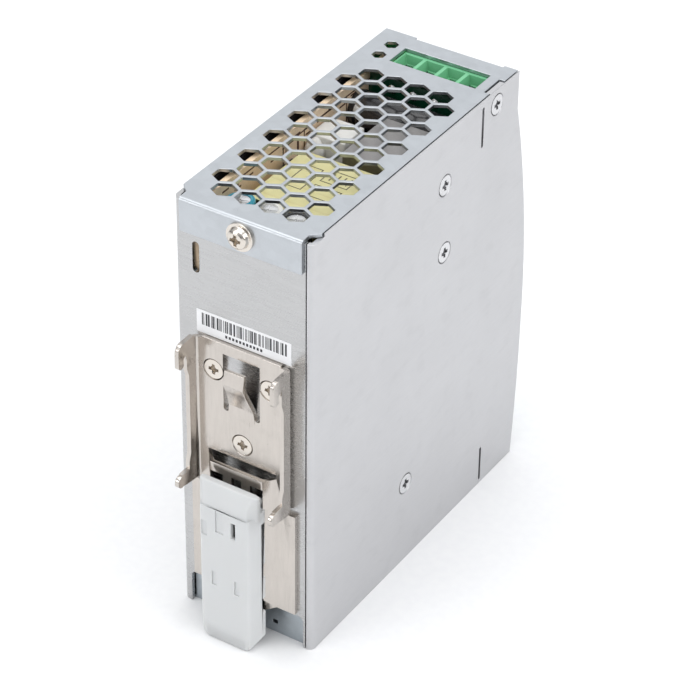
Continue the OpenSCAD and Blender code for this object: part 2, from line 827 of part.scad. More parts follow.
// Three small cans stand in a row behind the transformer.
module rear_capacitors() color([0.10, 0.48, 0.56]) place()
  for (x = [8.7, 0.7, -7.3]) {
    rod_z(107.6, 120.4, x, -11.9, 3.8);
    rod_z(120.3, 120.9, x, -11.9, 3.0);
    for (s = [-1, 1])
      rod_z(104.6, 107.7, x + s * 1.2, -11.9, 0.3, $fn = 16);
  }

module rear_board() color([0.83, 0.68, 0.50]) place()
  difference() {
    box([-12.0, -15.8, 105.4], [board_x - 0.05, -7.6, 107.0]);
    for (x = [8.7, 0.7, -7.3])
      for (s = [-1, 1])
        rod_z(105, 108, x + s * 1.2, -11.9, 0.45, $fn = 16);
  }

module choke_core() color([0.15, 0.15, 0.16]) place()
  difference() {
    rod_x(-4.0, 6.0, -60.0, 56.0, 9.6);
    rod_x(-5.0, 7.0, -60.0, 56.0, 4.6);
  }

module coil_turns(xm, y, z, rin, rout, half_x, count, wire) {
  for (i = [0 : count - 1])
    if (i != 0 && i != count / 2)
      translate([xm, y, z])
        rotate([i * 360 / count, 0, 0])
          difference() {
            box([-half_x - wire, -wire / 2, rin - wire],
                [half_x + wire, wire / 2, rout + wire]);
            box([-half_x, -wire, rin], [half_x, wire, rout]);
          }
}

module choke_winding() color([0.70, 0.36, 0.16]) place() {
  coil_turns(1.0, -60.0, 56.0, 4.55, 9.65, 5.05, 16, 1.0);
  for (s = [-1, 1])
    rod_x(6.0, board_x, -60.0 + s * 6.0, 56.0 + 8.6, 0.5, $fn = 16);
}

module output_choke_core() color([0.75, 0.72, 0.30]) place()
  difference() {
    rod_x(-1.0, 7.0, -64.6, 78.2, 7.6);
    rod_x(-2.0, 8.0, -64.6, 78.2, 3.8);
  }

module output_choke_coil() color([0.72, 0.38, 0.16]) place() {
  coil_turns(3.0, -64.6, 78.2, 3.75, 7.65, 4.05, 14, 0.95);
  rod_x(7.0, board_x, -72.8, 78.2, 0.5, $fn = 16);
}

// Two boxed film capacitors, one at the mains end, one by the output.
module film_capacitors() color([0.90, 0.89, 0.86]) place()
  for (c = [[-4.0, -79.6, 36.4, -72.2, 61.0],
            [3.0, -58.6, 105.4, -49.0, 119.2]]) {
    box([c[0], c[1], c[2]], [board_x - 0.8, c[3], c[4]]);
    for (z = [c[2] + 3, c[4] - 3])
      rod_x(board_x - 0.9, board_x, (c[1] + c[3]) / 2, z, 0.45, $fn = 16);
  }

module bridge_rectifier() color([0.08, 0.08, 0.08]) place() {
  difference() {
    box([-5.6, -50.6, 8.0], [8.0, -47.0, 27.0]);
    rod_y(-52, -46, -1.4, 17.5, 1.7);
  }
  for (i = [0 : 3])
    rod_x(7.9, board_x, -48.8, 10.4 + i * 4.75, 0.5, $fn = 16);
}

module fuse() color([0.86, 0.84, 0.78]) place() {
  rod_z(14.0, 30.0, 9.6, -66.0, 2.6);
  for (z = [13.2, 28.8])
    rod_z(z, z + 2.0, 9.6, -66.0, 2.9);
  for (z = [14.2, 29.8])
    rod_x(9.6, board_x, -66.0, z, 0.5, $fn = 16);
}

// -------------------------------------------------------------- terminals
// Output block: wires come in from above, screws face the front.
function dc_at(i) = dc_x + (i - (dc_ways - 1) / 2) * dc_pitch;
function ac_at(i) = (i - (ac_ways - 1) / 2) * ac_pitch;

// One way, drawn with its wire mouth at z = 0 looking up (+Z), the screw
// to the front (-Y) and its board face at y = 0. w is the pitch.
module way_cut(w) {
  // funnel down to the wire gap behind the fixed tongue
  hull() {
    translate([-w / 2 + 0.5, -9.2, 0])
      cube([w - 1, 6.2, 0.5]);
    translate([-2.2, -8.95, -2.7])
      cube([4.4, 5.7, 0.1]);
  }
  translate([-1.6, -8.7, -3.4])
    cube([3.2, 5.4, 1]);
  // clamp chamber, open to the board
  translate([-2.35, -10.9, -12.2])
    cube([4.7, 11.0, 8.9]);
  // the driver's way in
  translate([0, -10.8, -7.0])
    rotate([90, 0, 0])
      cylinder(r = 2.25, h = 5);
}

module dc_terminal() color([0.36, 0.68, 0.47]) place()
  difference() {
    union() {
      box([dc_x - dc_w / 2, -dc_front, dc_low],
          [dc_x + dc_w / 2, -dc_back, dc_high - 1.4]);
      box([dc_x - dc_w / 2, -91.2, dc_high - 1.5],
          [dc_x + dc_w / 2, -dc_back, dc_high]);
    }
    for (i = [0 : dc_ways - 1])
      translate([dc_at(i), -dc_back, dc_high])
        way_cut(dc_pitch);
  }

module dc_busbars() color([0.75, 0.72, 0.62]) place()
  for (i = [0 : dc_ways - 1])
    bar_at(dc_at(i), -dc_back, dc_high, 1);

// Fixed tongue a wire is clamped against, folded back behind the clamp to
// its board pin. s is 1 with the wire from above and -1 from below.
module bar_at(x, y, z, s) {
  translate([x, y, z])
    mirror([0, 0, s > 0 ? 0 : 1]) {
      box([-1.2, -6.6, -11.95], [1.2, -5.7, -3.5]);
      box([-1.2, -6.6, -11.95], [1.2, -0.1, -11.0]);
      box([-1.2, -1.3, -11.95], [1.2, -0.1, -3.9]);
      rod_y(-0.2, 2.6, 0, -4.6, 0.55, $fn = 16);
    }
}

module ac_terminal() color([0.36, 0.68, 0.47]) place()
  difference() {
    box([-ac_w / 2, -ac_front, ac_low], [ac_w / 2, -ac_back, ac_high]);
    for (i = [0 : ac_ways - 1])
      translate([ac_at(i), -ac_back, ac_low])
        mirror([0, 0, 1])
          way_cut(ac_pitch);
  }

module ac_busbars() color([0.75, 0.72, 0.62]) place()
  for (i = [0 : ac_ways - 1])
    bar_at(ac_at(i), -ac_back, ac_low, -1);

// Captive screw, its slotted head to the front.
module term_screw(x, y, z) {
  translate([x, y, z])
    rotate([90, 0, 0])
      difference() {
        union() {
          translate([0, 0, 10.95])
            cylinder(r = 2.18, h = 2.2);
          translate([0, 0, 6.8])
            cylinder(r = 1.2, h = 4.2);
        }
        translate([-3, -0.4, 12.2])
          cube([6, 0.8, 2]);
      }
}

// Rising cage: its threaded front wall climbs the screw and its far wall
// pulls the wire against the fixed tongue.
module term_clamp(x, y, z, s) {
  translate([x, y, z])
    mirror([0, 0, s > 0 ? 0 : 1])
      difference() {
        box([-2.15, -8.2, -10.4], [2.15, -1.8, -3.9]);
        box([-1.5, -6.8, -11], [1.5, -3.0, -3]);
        rod_y(-9, -6, 0, -7.0, 1.25);
      }
}

module dc_screw(i) color([0.82, 0.82, 0.80]) place()
  term_screw(dc_at(i), -dc_back, dc_high - 7.0);

module ac_screw(i) color([0.82, 0.82, 0.80]) place()
  term_screw(ac_at(i), -ac_back, ac_low + 7.0);

module dc_clamp(i) color([0.78, 0.76, 0.70]) place()
  term_clamp(dc_at(i), -dc_back, dc_high, 1);

module ac_clamp(i) color([0.78, 0.76, 0.70]) place()
  term_clamp(ac_at(i), -ac_back, ac_low, -1);

module led() color([0.35, 0.85, 0.40]) place() {
  rod_y(-95.2, -91.0, aux_x, 117.6, 1.5);
  translate([aux_x, -95.2, 117.6])
    sphere(r = 1.5, $fn = 32);
  rod_y(-91.2, -90.0, aux_x, 117.6, 1.9);
  for (s = [-1, 1])
    rod_y(-90.1, -dc_back, aux_x + s * 1.0, 117.6, 0.3, $fn = 16);
}

module trimmer_body() color([0.12, 0.28, 0.62]) place()
  difference() {
    box([aux_x - 2.5, -88.6, 106.3], [aux_x + 2.5, -dc_back, 111.3]);
    rod_y(-90, -84.0, aux_x, 108.8, 1.86);
  }

module trimmer_rotor() color([0.92, 0.90, 0.84]) place()
  difference() {
    rod_y(-89.6, -84.1, aux_x, 108.8, 1.8);
    box([aux_x - 0.35, -90, 106], [aux_x + 0.35, -88.6, 112]);
    box([aux_x - 0.1, -90, 108.5], [aux_x + 1.3, -88.9, 109.1]);
  }

chassis();
side_cover();
top_cover();
bottom_cover();
front_panel();
front_label();
code_label();
din_bracket();
din_latch();
latch_spring();
bracket_screws();
flange_screw();
side_screws();
left_screws();
insulation_sheet();
main_board();
output_board();
input_board();
board_posts();
transformer_core();
transformer_winding();
transformer_bobbin();
output_heatsink();
input_heatsink();
output_rectifiers();
switch_transistor();
device_screws();
bulk_capacitor();
output_capacitors();
rear_capacitors();
rear_board();
transformer_tape();
choke_core();
choke_winding();
output_choke_core();
output_choke_coil();
film_capacitors();
bridge_rectifier();
fuse();
dc_terminal();
dc_busbars();
dc_screw(0);  // dc_screw_1
dc_screw(1);  // dc_screw_2
dc_screw(2);  // dc_screw_3
dc_screw(3);  // dc_screw_4
dc_clamp(0);  // dc_clamp_1
dc_clamp(1);  // dc_clamp_2
dc_clamp(2);  // dc_clamp_3
dc_clamp(3);  // dc_clamp_4
ac_terminal();
ac_busbars();
ac_screw(0);  // ac_screw_1
ac_screw(1);  // ac_screw_2
ac_screw(2);  // ac_screw_3
ac_clamp(0);  // ac_clamp_1
ac_clamp(1);  // ac_clamp_2
ac_clamp(2);  // ac_clamp_3
led();
trimmer_body();
trimmer_rotor();
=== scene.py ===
"""Dressed model of a slim metal-cased DIN rail power supply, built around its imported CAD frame."""
from __future__ import annotations

import json
import logging
import math
import random
from dataclasses import dataclass, field
from enum import Enum

import bmesh
import bpy
from mathutils import Matrix, Vector

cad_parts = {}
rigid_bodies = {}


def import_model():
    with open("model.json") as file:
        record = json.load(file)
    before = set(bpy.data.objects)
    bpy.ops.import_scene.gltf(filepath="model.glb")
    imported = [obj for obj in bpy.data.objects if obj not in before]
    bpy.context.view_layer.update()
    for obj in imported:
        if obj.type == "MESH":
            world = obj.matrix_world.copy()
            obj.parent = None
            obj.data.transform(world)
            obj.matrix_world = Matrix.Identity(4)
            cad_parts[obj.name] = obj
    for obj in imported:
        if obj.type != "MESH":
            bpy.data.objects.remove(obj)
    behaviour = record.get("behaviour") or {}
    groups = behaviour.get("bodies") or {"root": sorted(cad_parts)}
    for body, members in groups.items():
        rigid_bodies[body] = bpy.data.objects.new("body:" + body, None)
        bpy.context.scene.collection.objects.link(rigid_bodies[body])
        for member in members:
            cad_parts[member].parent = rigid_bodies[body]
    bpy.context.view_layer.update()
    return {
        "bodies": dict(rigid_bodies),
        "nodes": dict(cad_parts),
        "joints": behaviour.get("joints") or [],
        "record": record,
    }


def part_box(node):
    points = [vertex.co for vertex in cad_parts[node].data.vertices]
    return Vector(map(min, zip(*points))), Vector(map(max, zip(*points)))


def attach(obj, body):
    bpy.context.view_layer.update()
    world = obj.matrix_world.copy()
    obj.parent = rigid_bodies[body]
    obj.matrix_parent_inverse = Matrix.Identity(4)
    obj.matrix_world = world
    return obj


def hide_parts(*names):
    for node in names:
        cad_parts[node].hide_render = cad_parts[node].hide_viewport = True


LOG = logging.getLogger("din_supply")
MM = 0.001
Colour = tuple[float, float, float]
Triple = tuple[float, float, float]


def mm(x: float, y: float, z: float) -> Vector:
    """Returns a point or size given in millimetres as a vector in metres."""
    return Vector((x, y, z)) * MM


# ------------------------------------------------------------------ shader building
class Kind(Enum):
    """Socket types that the effect groups use."""

    VECTOR = "NodeSocketVector"
    COLOUR = "NodeSocketColor"
    VALUE = "NodeSocketFloat"


class Tree:
    """A thin layer over a node tree that adds and joins nodes."""

    def __init__(self, tree: bpy.types.NodeTree) -> None:
        """Keeps the tree that the nodes go in."""
        self.tree = tree

    def add(self, kind: str, **values: object) -> bpy.types.Node:
        """Adds one node.

        Args:
            kind: the node's class name without its ShaderNode start.
            **values: properties of the node, set as they are.

        Returns:
            The new node.
        """
        node = self.tree.nodes.new("ShaderNode" + kind)
        for name, value in values.items():
            setattr(node, name, value)
        return node

    def feed(self, source: object, target: bpy.types.NodeSocket) -> None:
        """Joins a socket, or sets a plain value, to the target socket."""
        if isinstance(source, bpy.types.NodeSocket):
            self.tree.links.new(source, target)
        else:
            target.default_value = source

    def math(self, operation: str, a: object, b: object = 0.0, clamp: bool = False) -> bpy.types.NodeSocket:
        """Adds a Math node on a and b and returns its result."""
        node = self.add("Math", operation=operation, use_clamp=clamp)
        self.feed(a, node.inputs[0])
        self.feed(b, node.inputs[1])
        return node.outputs[0]

    def mix(self, factor: object, a: object, b: object, blend: str = "MIX") -> bpy.types.NodeSocket:
        """Adds a colour Mix node and returns its result."""
        node = self.add("Mix", data_type="RGBA", blend_type=blend, clamp_result=True)
        self.feed(factor, node.inputs[0])
        self.feed(a, node.inputs[6])
        self.feed(b, node.inputs[7])
        return node.outputs[2]

    def noise(self, vector: object, scale: float, detail: float = 3.0,
              rough: float = 0.55) -> bpy.types.NodeSocket:
        """Adds a Noise Texture and returns its value."""
        node = self.add("TexNoise")
        self.feed(vector, node.inputs["Vector"])
        node.inputs["Scale"].default_value = scale
        node.inputs["Detail"].default_value = detail
        node.inputs["Roughness"].default_value = rough
        return node.outputs[0]

    def voronoi(self, vector: object, scale: float, feature: str = "F1",
                output: str = "Distance") -> bpy.types.NodeSocket:
        """Adds a Voronoi Texture and returns the named output."""
        node = self.add("TexVoronoi", feature=feature)
        self.feed(vector, node.inputs["Vector"])
        node.inputs["Scale"].default_value = scale
        return node.outputs[output]

    def span(self, value: object, low: float, high: float, to_low: float = 0.0,
             to_high: float = 1.0) -> bpy.types.NodeSocket:
        """Maps low..high smoothly to to_low..to_high and returns the result."""
        node = self.add("MapRange", interpolation_type="SMOOTHSTEP")
        self.feed(value, node.inputs["Value"])
        node.inputs["From Min"].default_value = low
        node.inputs["From Max"].default_value = high
        node.inputs["To Min"].default_value = to_low
        node.inputs["To Max"].default_value = to_high
        return node.outputs[0]

    def mapped(self, vector: object, scale: Triple, turn: Triple = (0.0, 0.0, 0.0),
               shift: Triple = (0.0, 0.0, 0.0)) -> bpy.types.NodeSocket:
        """Adds a Mapping node and returns its vector."""
        node = self.add("Mapping")
        self.feed(vector, node.inputs["Vector"])
        node.inputs["Scale"].default_value = scale
        node.inputs["Rotation"].default_value = turn
        node.inputs["Location"].default_value = shift
        return node.outputs[0]


class Effects:
    """The shared surface effects, each one node group built once."""

    def __init__(self) -> None:
        """Builds every effect group."""
        self.grain = self._grain()
        self.marks = self._marks()
        self.spangle = self._spangle()
        self.scratches = self._scratches()
        self.moulded = self._moulded()
        self.fibres = self._fibres()

    @staticmethod
    def _start(name: str, knobs: dict[str, float]) -> tuple[Tree, bpy.types.Node, bpy.types.Node]:
        """Starts a group with vector, colour and roughness in, and colour, roughness and height out.

        Args:
            name: the group's name.
            knobs: the names and defaults of its number inputs.

        Returns:
            The tree, its input node and its output node.
        """
        group = bpy.data.node_groups.new(name, "ShaderNodeTree")
        face = group.interface
        face.new_socket(name="Vector", in_out="INPUT", socket_type=Kind.VECTOR.value)
        face.new_socket(name="Colour", in_out="INPUT", socket_type=Kind.COLOUR.value)
        face.new_socket(name="Roughness", in_out="INPUT", socket_type=Kind.VALUE.value)
        for knob, value in knobs.items():
            face.new_socket(name=knob, in_out="INPUT", socket_type=Kind.VALUE.value).default_value = value
        face.new_socket(name="Colour", in_out="OUTPUT", socket_type=Kind.COLOUR.value)
        face.new_socket(name="Roughness", in_out="OUTPUT", socket_type=Kind.VALUE.value)
        face.new_socket(name="Height", in_out="OUTPUT", socket_type=Kind.VALUE.value)
        return Tree(group), group.nodes.new("NodeGroupInput"), group.nodes.new("NodeGroupOutput")

    @staticmethod
    def _finish(t: Tree, into: bpy.types.Node, out: bpy.types.Node, shade: object, rough: object,
                height: object) -> bpy.types.NodeTree:
        """Scales the colour by shade, adds rough to the roughness, and closes the group.

        Args:
            t: the group's tree.
            into: its input node.
            out: its output node.
            shade: how much lighter or darker, from about -0.5 to 0.5.
            rough: how much rougher or smoother.
            height: the bump height.

        Returns:
            The finished group.
        """
        factor = t.math("ADD", shade, 1.0)
        both = t.add("VectorMath", operation="SCALE")
        t.feed(into.outputs["Colour"], both.inputs[0])
        t.feed(factor, both.inputs["Scale"])
        t.feed(both.outputs[0], out.inputs["Colour"])
        t.feed(t.math("ADD", into.outputs["Roughness"], rough, clamp=True), out.inputs["Roughness"])
        t.feed(height, out.inputs["Height"])
        return t.tree

    def _grain(self) -> bpy.types.NodeTree:
        """Returns the directional grain of brushed or rolled sheet, along the vector's first axis."""
        t, into, out = self._start("directional_grain", {"Amount": 0.1})
        vector = into.outputs["Vector"]
        coarse = t.noise(t.mapped(vector, (90.0, 1500.0, 1500.0)), 1.0, 3.0, 0.6)
        fine = t.noise(t.mapped(vector, (420.0, 5200.0, 5200.0), shift=(3.1, 7.7, 1.3)), 1.0, 2.0, 0.5)
        both = t.math("ADD", t.math("MULTIPLY", coarse, 0.6), t.math("MULTIPLY", fine, 0.4))
        centred = t.math("SUBTRACT", both, 0.5)
        shade = t.math("MULTIPLY", centred, into.outputs["Amount"])
        rough = t.math("MULTIPLY", shade, -1.2)
        return self._finish(t, into, out, shade, rough, both)

    def _marks(self) -> bpy.types.NodeTree:
        """Returns soft handling marks: cloudy patches and small smudges."""
        t, into, out = self._start("handling_marks", {"Amount": 0.1})
        vector = into.outputs["Vector"]
        cloud = t.noise(vector, 38.0, 4.0, 0.6)
        smudge = t.span(t.noise(t.mapped(vector, (1.0, 1.0, 1.6), shift=(0.4, 0.1, 0.7)), 150.0, 3.0, 0.5),
                        0.52, 0.72)
        both = t.math("ADD", t.math("SUBTRACT", cloud, 0.5), t.math("MULTIPLY", smudge, -0.25))
        shade = t.math("MULTIPLY", both, into.outputs["Amount"])
        return self._finish(t, into, out, shade, t.math("MULTIPLY", shade, -1.6), smudge)

    def _spangle(self) -> bpy.types.NodeTree:
        """Returns the faint crystal pattern of a zinc coat."""
        t, into, out = self._start("zinc_spangle", {"Amount": 0.08, "Size": 450.0})
        vector = into.outputs["Vector"]
        node = t.add("TexVoronoi", feature="SMOOTH_F1")
        t.feed(vector, node.inputs["Vector"])
        t.feed(into.outputs["Size"], node.inputs["Scale"])
        node.inputs["Smoothness"].default_value = 0.4
        grey = t.add("SeparateColor")
        t.feed(node.outputs["Color"], grey.inputs[0])
        fine = t.noise(vector, 2600.0, 3.0, 0.6)
        both = t.math("ADD", t.math("MULTIPLY", t.math("SUBTRACT", grey.outputs[0], 0.5), 0.6),
                      t.math("MULTIPLY", t.math("SUBTRACT", fine, 0.5), 0.8))
        shade = t.math("MULTIPLY", both, into.outputs["Amount"])
        return self._finish(t, into, out, shade, t.math("MULTIPLY", shade, 1.2), fine)

    def _scratches(self) -> bpy.types.NodeTree:
        """Returns sparse hairline scratches in three directions."""
        t, into, out = self._start("hairline_scratches", {"Amount": 0.2})
        vector = into.outputs["Vector"]
        total: object = 0.0
        for turn in ((0.3, 0.5, 0.35), (1.1, -0.4, 1.35), (-0.6, 0.9, 2.2)):
            line = t.noise(t.mapped(vector, (60.0, 2600.0, 2600.0), turn=turn), 1.0, 1.0, 0.4)
            total = t.math("ADD", total, t.span(line, 0.74, 0.79))
        shade = t.math("MULTIPLY", total, into.outputs["Amount"])
        return self._finish(t, into, out, shade, t.math("MULTIPLY", shade, 0.8),
                            t.math("MULTIPLY", total, -1.0))

    def _moulded(self) -> bpy.types.NodeTree:
        """Returns a moulded plastic skin: fine texture with faint flow mottling."""
        t, into, out = self._start("moulded_skin", {"Amount": 0.08})
        vector = into.outputs["Vector"]
        flow = t.noise(t.mapped(vector, (1.0, 1.0, 0.35)), 130.0, 3.0, 0.55)
        skin = t.noise(vector, 3600.0, 2.0, 0.6)
        shade = t.math("MULTIPLY", t.math("SUBTRACT", flow, 0.5), into.outputs["Amount"])
        rough = t.math("MULTIPLY", t.math("SUBTRACT", skin, 0.5), into.outputs["Amount"])
        return self._finish(t, into, out, shade, rough, skin)

    def _fibres(self) -> bpy.types.NodeTree:
        """Returns the specks and fibres of pressed board, tape and ceramics."""
        t, into, out = self._start("pressed_fibres", {"Amount": 0.15, "Size": 900.0})
        vector = into.outputs["Vector"]
        node = t.add("TexNoise")
        t.feed(vector, node.inputs["Vector"])
        t.feed(into.outputs["Size"], node.inputs["Scale"])
        node.inputs["Detail"].default_value = 5.0
        node.inputs["Roughness"].default_value = 0.65
        speck = t.span(t.voronoi(vector, 1400.0), 0.08, 0.30)
        both = t.math("ADD", t.math("SUBTRACT", node.outputs[0], 0.5),
                      t.math("MULTIPLY", t.math("SUBTRACT", speck, 1.0), 0.35))
        shade = t.math("MULTIPLY", both, into.outputs["Amount"])
        return self._finish(t, into, out, shade, t.math("MULTIPLY", shade, -0.5), node.outputs[0])


class Along(Enum):
    """The way that a sheet's grain runs, as the turn that brings it onto the group's first axis."""

    X = (0.0, 0.0, 0.0)
    Y = (0.0, 0.0, -math.pi / 2)
    Z = (0.0, math.pi / 2, 0.0)


@dataclass(frozen=True)
class Finish:
    """What every finish has: its name, its colour and how it is laid on.

    The effects are amounts of the shared groups, and 0 leaves a group out.
    """

    name: str
    colour: Colour
    roughness: float = 0.4
    metallic: float = 0.0
    grain: float = 0.0
    along: Along = Along.X
    marks: float = 0.0
    spangle: float = 0.0
    scratches: float = 0.0
    moulded: float = 0.0
    fibres: float = 0.0
    fibre_size: float = 900.0
    bump: float = 0.02
    specular: float = 0.5
    coat: float = 0.0
    subsurface: float = 0.0
    transmission: float = 0.0
    emission: Colour | None = None

    def chain(self, t: Tree, effects: Effects) -> tuple[object, object, list[bpy.types.NodeSocket]]:
        """Runs the colour and roughness through the effects this finish uses.

        Args:
            t: the material's tree.
            effects: the shared groups.

        Returns:
            The colour, the roughness and the heights.
        """
        place = t.add("TexCoord").outputs["Object"]
        colour, rough, heights = (*self.colour, 1.0), self.roughness, []
        steps = [
            (effects.marks, self.marks, place, {}),
            (effects.spangle, self.spangle, place, {}),
            (effects.fibres, self.fibres, place, {"Size": self.fibre_size}),
            (effects.moulded, self.moulded, place, {}),
            (effects.scratches, self.scratches, place, {}),
            (effects.grain, self.grain, None, {}),
        ]
        for group, amount, vector, extra in steps:
            if not amount:
                continue
            node = t.add("Group", node_tree=group)
            if vector is None:
                vector = t.mapped(place, (1.0, 1.0, 1.0), turn=self.along.value)
            t.feed(vector, node.inputs["Vector"])
            t.feed(colour, node.inputs["Colour"])
            t.feed(rough, node.inputs["Roughness"])
            node.inputs["Amount"].default_value = amount
            for knob, value in extra.items():
                node.inputs[knob].default_value = value
            colour, rough = node.outputs["Colour"], node.outputs["Roughness"]
            heights.append(node.outputs["Height"])
        return colour, rough, heights

    def build(self, effects: Effects) -> bpy.types.Material:
        """Makes the material.

        Args:
            effects: the shared groups.

        Returns:
            The finished material.
        """
        material = bpy.data.materials.new(self.name)
        material.use_nodes = True
        t = Tree(material.node_tree)
        shader = material.node_tree.nodes["Principled BSDF"]
        colour, rough, heights = self.chain(t, effects)
        t.feed(self.tinted(t, colour), shader.inputs["Base Color"])
        t.feed(rough, shader.inputs["Roughness"])
        shader.inputs["Metallic"].default_value = self.metallic
        shader.inputs["Specular IOR Level"].default_value = self.specular
        shader.inputs["Coat Weight"].default_value = self.coat
        shader.inputs["Coat Roughness"].default_value = 0.12
        shader.inputs["Transmission Weight"].default_value = self.transmission
        if self.subsurface:
            shader.inputs["Subsurface Weight"].default_value = self.subsurface
            shader.inputs["Subsurface Radius"].default_value = (1.0, 0.95, 0.9)
            shader.inputs["Subsurface Scale"].default_value = 2.2 * MM
        if self.emission:
            shader.inputs["Emission Color"].default_value = (*self.emission, 1.0)
            shader.inputs["Emission Strength"].default_value = 0.35
        if heights:
            total = heights[-1]
            for height in heights[:-1]:
                total = t.math("ADD", total, height)
            bump = t.add("Bump")
            bump.inputs["Strength"].default_value = 0.5
            bump.inputs["Distance"].default_value = self.bump * MM
            t.feed(total, bump.inputs["Height"])
            t.feed(bump.outputs[0], shader.inputs["Normal"])
        return material

    def tinted(self, t: Tree, colour: object) -> object:
        """Returns the colour as it is; finishes with a pattern of their own add it here."""
        return colour


@dataclass(frozen=True)
class TapeFinish(Finish):
    """Yellow tape whose wrapped edges show as soft darker lines along X."""

    wrap: float = 1.15

    def tinted(self, t: Tree, colour: object) -> object:
        """Returns the tape's colour with the darker lines of its laps."""
        place = t.add("TexCoord").outputs["Object"]
        wave = t.add("TexWave", wave_type="BANDS", bands_direction="Y", wave_profile="SAW")
        t.feed(place, wave.inputs["Vector"])
        wave.inputs["Scale"].default_value = 0.31 / (self.wrap * MM) / 6.0
        wave.inputs["Distortion"].default_value = 0.6
        return t.mix(t.span(wave.outputs["Fac"], 0.82, 1.0, 0.0, 0.22), colour, (0.55, 0.44, 0.16, 1.0))


@dataclass(frozen=True)
class BoardFinish(Finish):
    """Pressed board: its faces are darkened in soft noise bands of a darker edge colour."""

    edge: Colour = (0.60, 0.40, 0.24)

    def tinted(self, t: Tree, colour: object) -> object:
        """Returns the face colour, darkened in soft bands like scorched laminate."""
        place = t.add("TexCoord").outputs["Object"]
        band = t.span(t.noise(t.mapped(place, (1.0, 0.5, 1.4)), 46.0, 2.0, 0.5), 0.55, 0.8, 0.0, 0.25)
        return t.mix(band, colour, (*self.edge, 1.0))


@dataclass(frozen=True)
class FilmFinish(Finish):
    """Printed film: plain bands, rules and spots placed by X and Z, with no lettering."""

    ink: Colour = (0.10, 0.12, 0.15)
    accent: Colour = (0.02, 0.18, 0.42)
    # (x from, x to, z from, z to, 1 for the accent colour), in millimetres
    bars: tuple[tuple[float, float, float, float, int], ...] = (
        (-14.4, 14.4, 94.6, 100.6, 0), (-14.4, 14.4, 92.6, 93.2, 1), (-14.4, -1.6, 60.0, 60.5, 0),
        (-14.4, 14.4, 56.0, 56.4, 0), (-14.4, 14.4, 33.0, 33.4, 0), (-14.4, 14.4, 22.0, 27.5, 1),
        (11.4, 14.4, 102.2, 103.0, 0), (-14.4, -8.0, 40.0, 45.5, 0), (-6.4, -5.9, 34.5, 55.0, 0))

    def _bar(self, t: Tree, x: object, z: object, bar: tuple[float, float, float, float, int]) -> object:
        """Returns the mask of one rectangle."""
        left, right, low, high, _ = bar
        sides = t.math("COMPARE", x, (left + right) / 2 * MM)
        sides.node.inputs[2].default_value = (right - left) / 2 * MM
        ends = t.math("COMPARE", z, (low + high) / 2 * MM)
        ends.node.inputs[2].default_value = (high - low) / 2 * MM
        return t.math("MULTIPLY", sides, ends)

    def tinted(self, t: Tree, colour: object) -> object:
        """Returns the film's colour with its bars printed on it."""
        split = t.add("SeparateXYZ")
        t.feed(t.add("TexCoord").outputs["Object"], split.inputs[0])
        x, z = split.outputs["X"], split.outputs["Z"]
        for bar in self.bars:
            shade = self.accent if bar[4] else self.ink
            colour = t.mix(self._bar(t, x, z, bar), colour, (*shade, 1.0))
        return colour


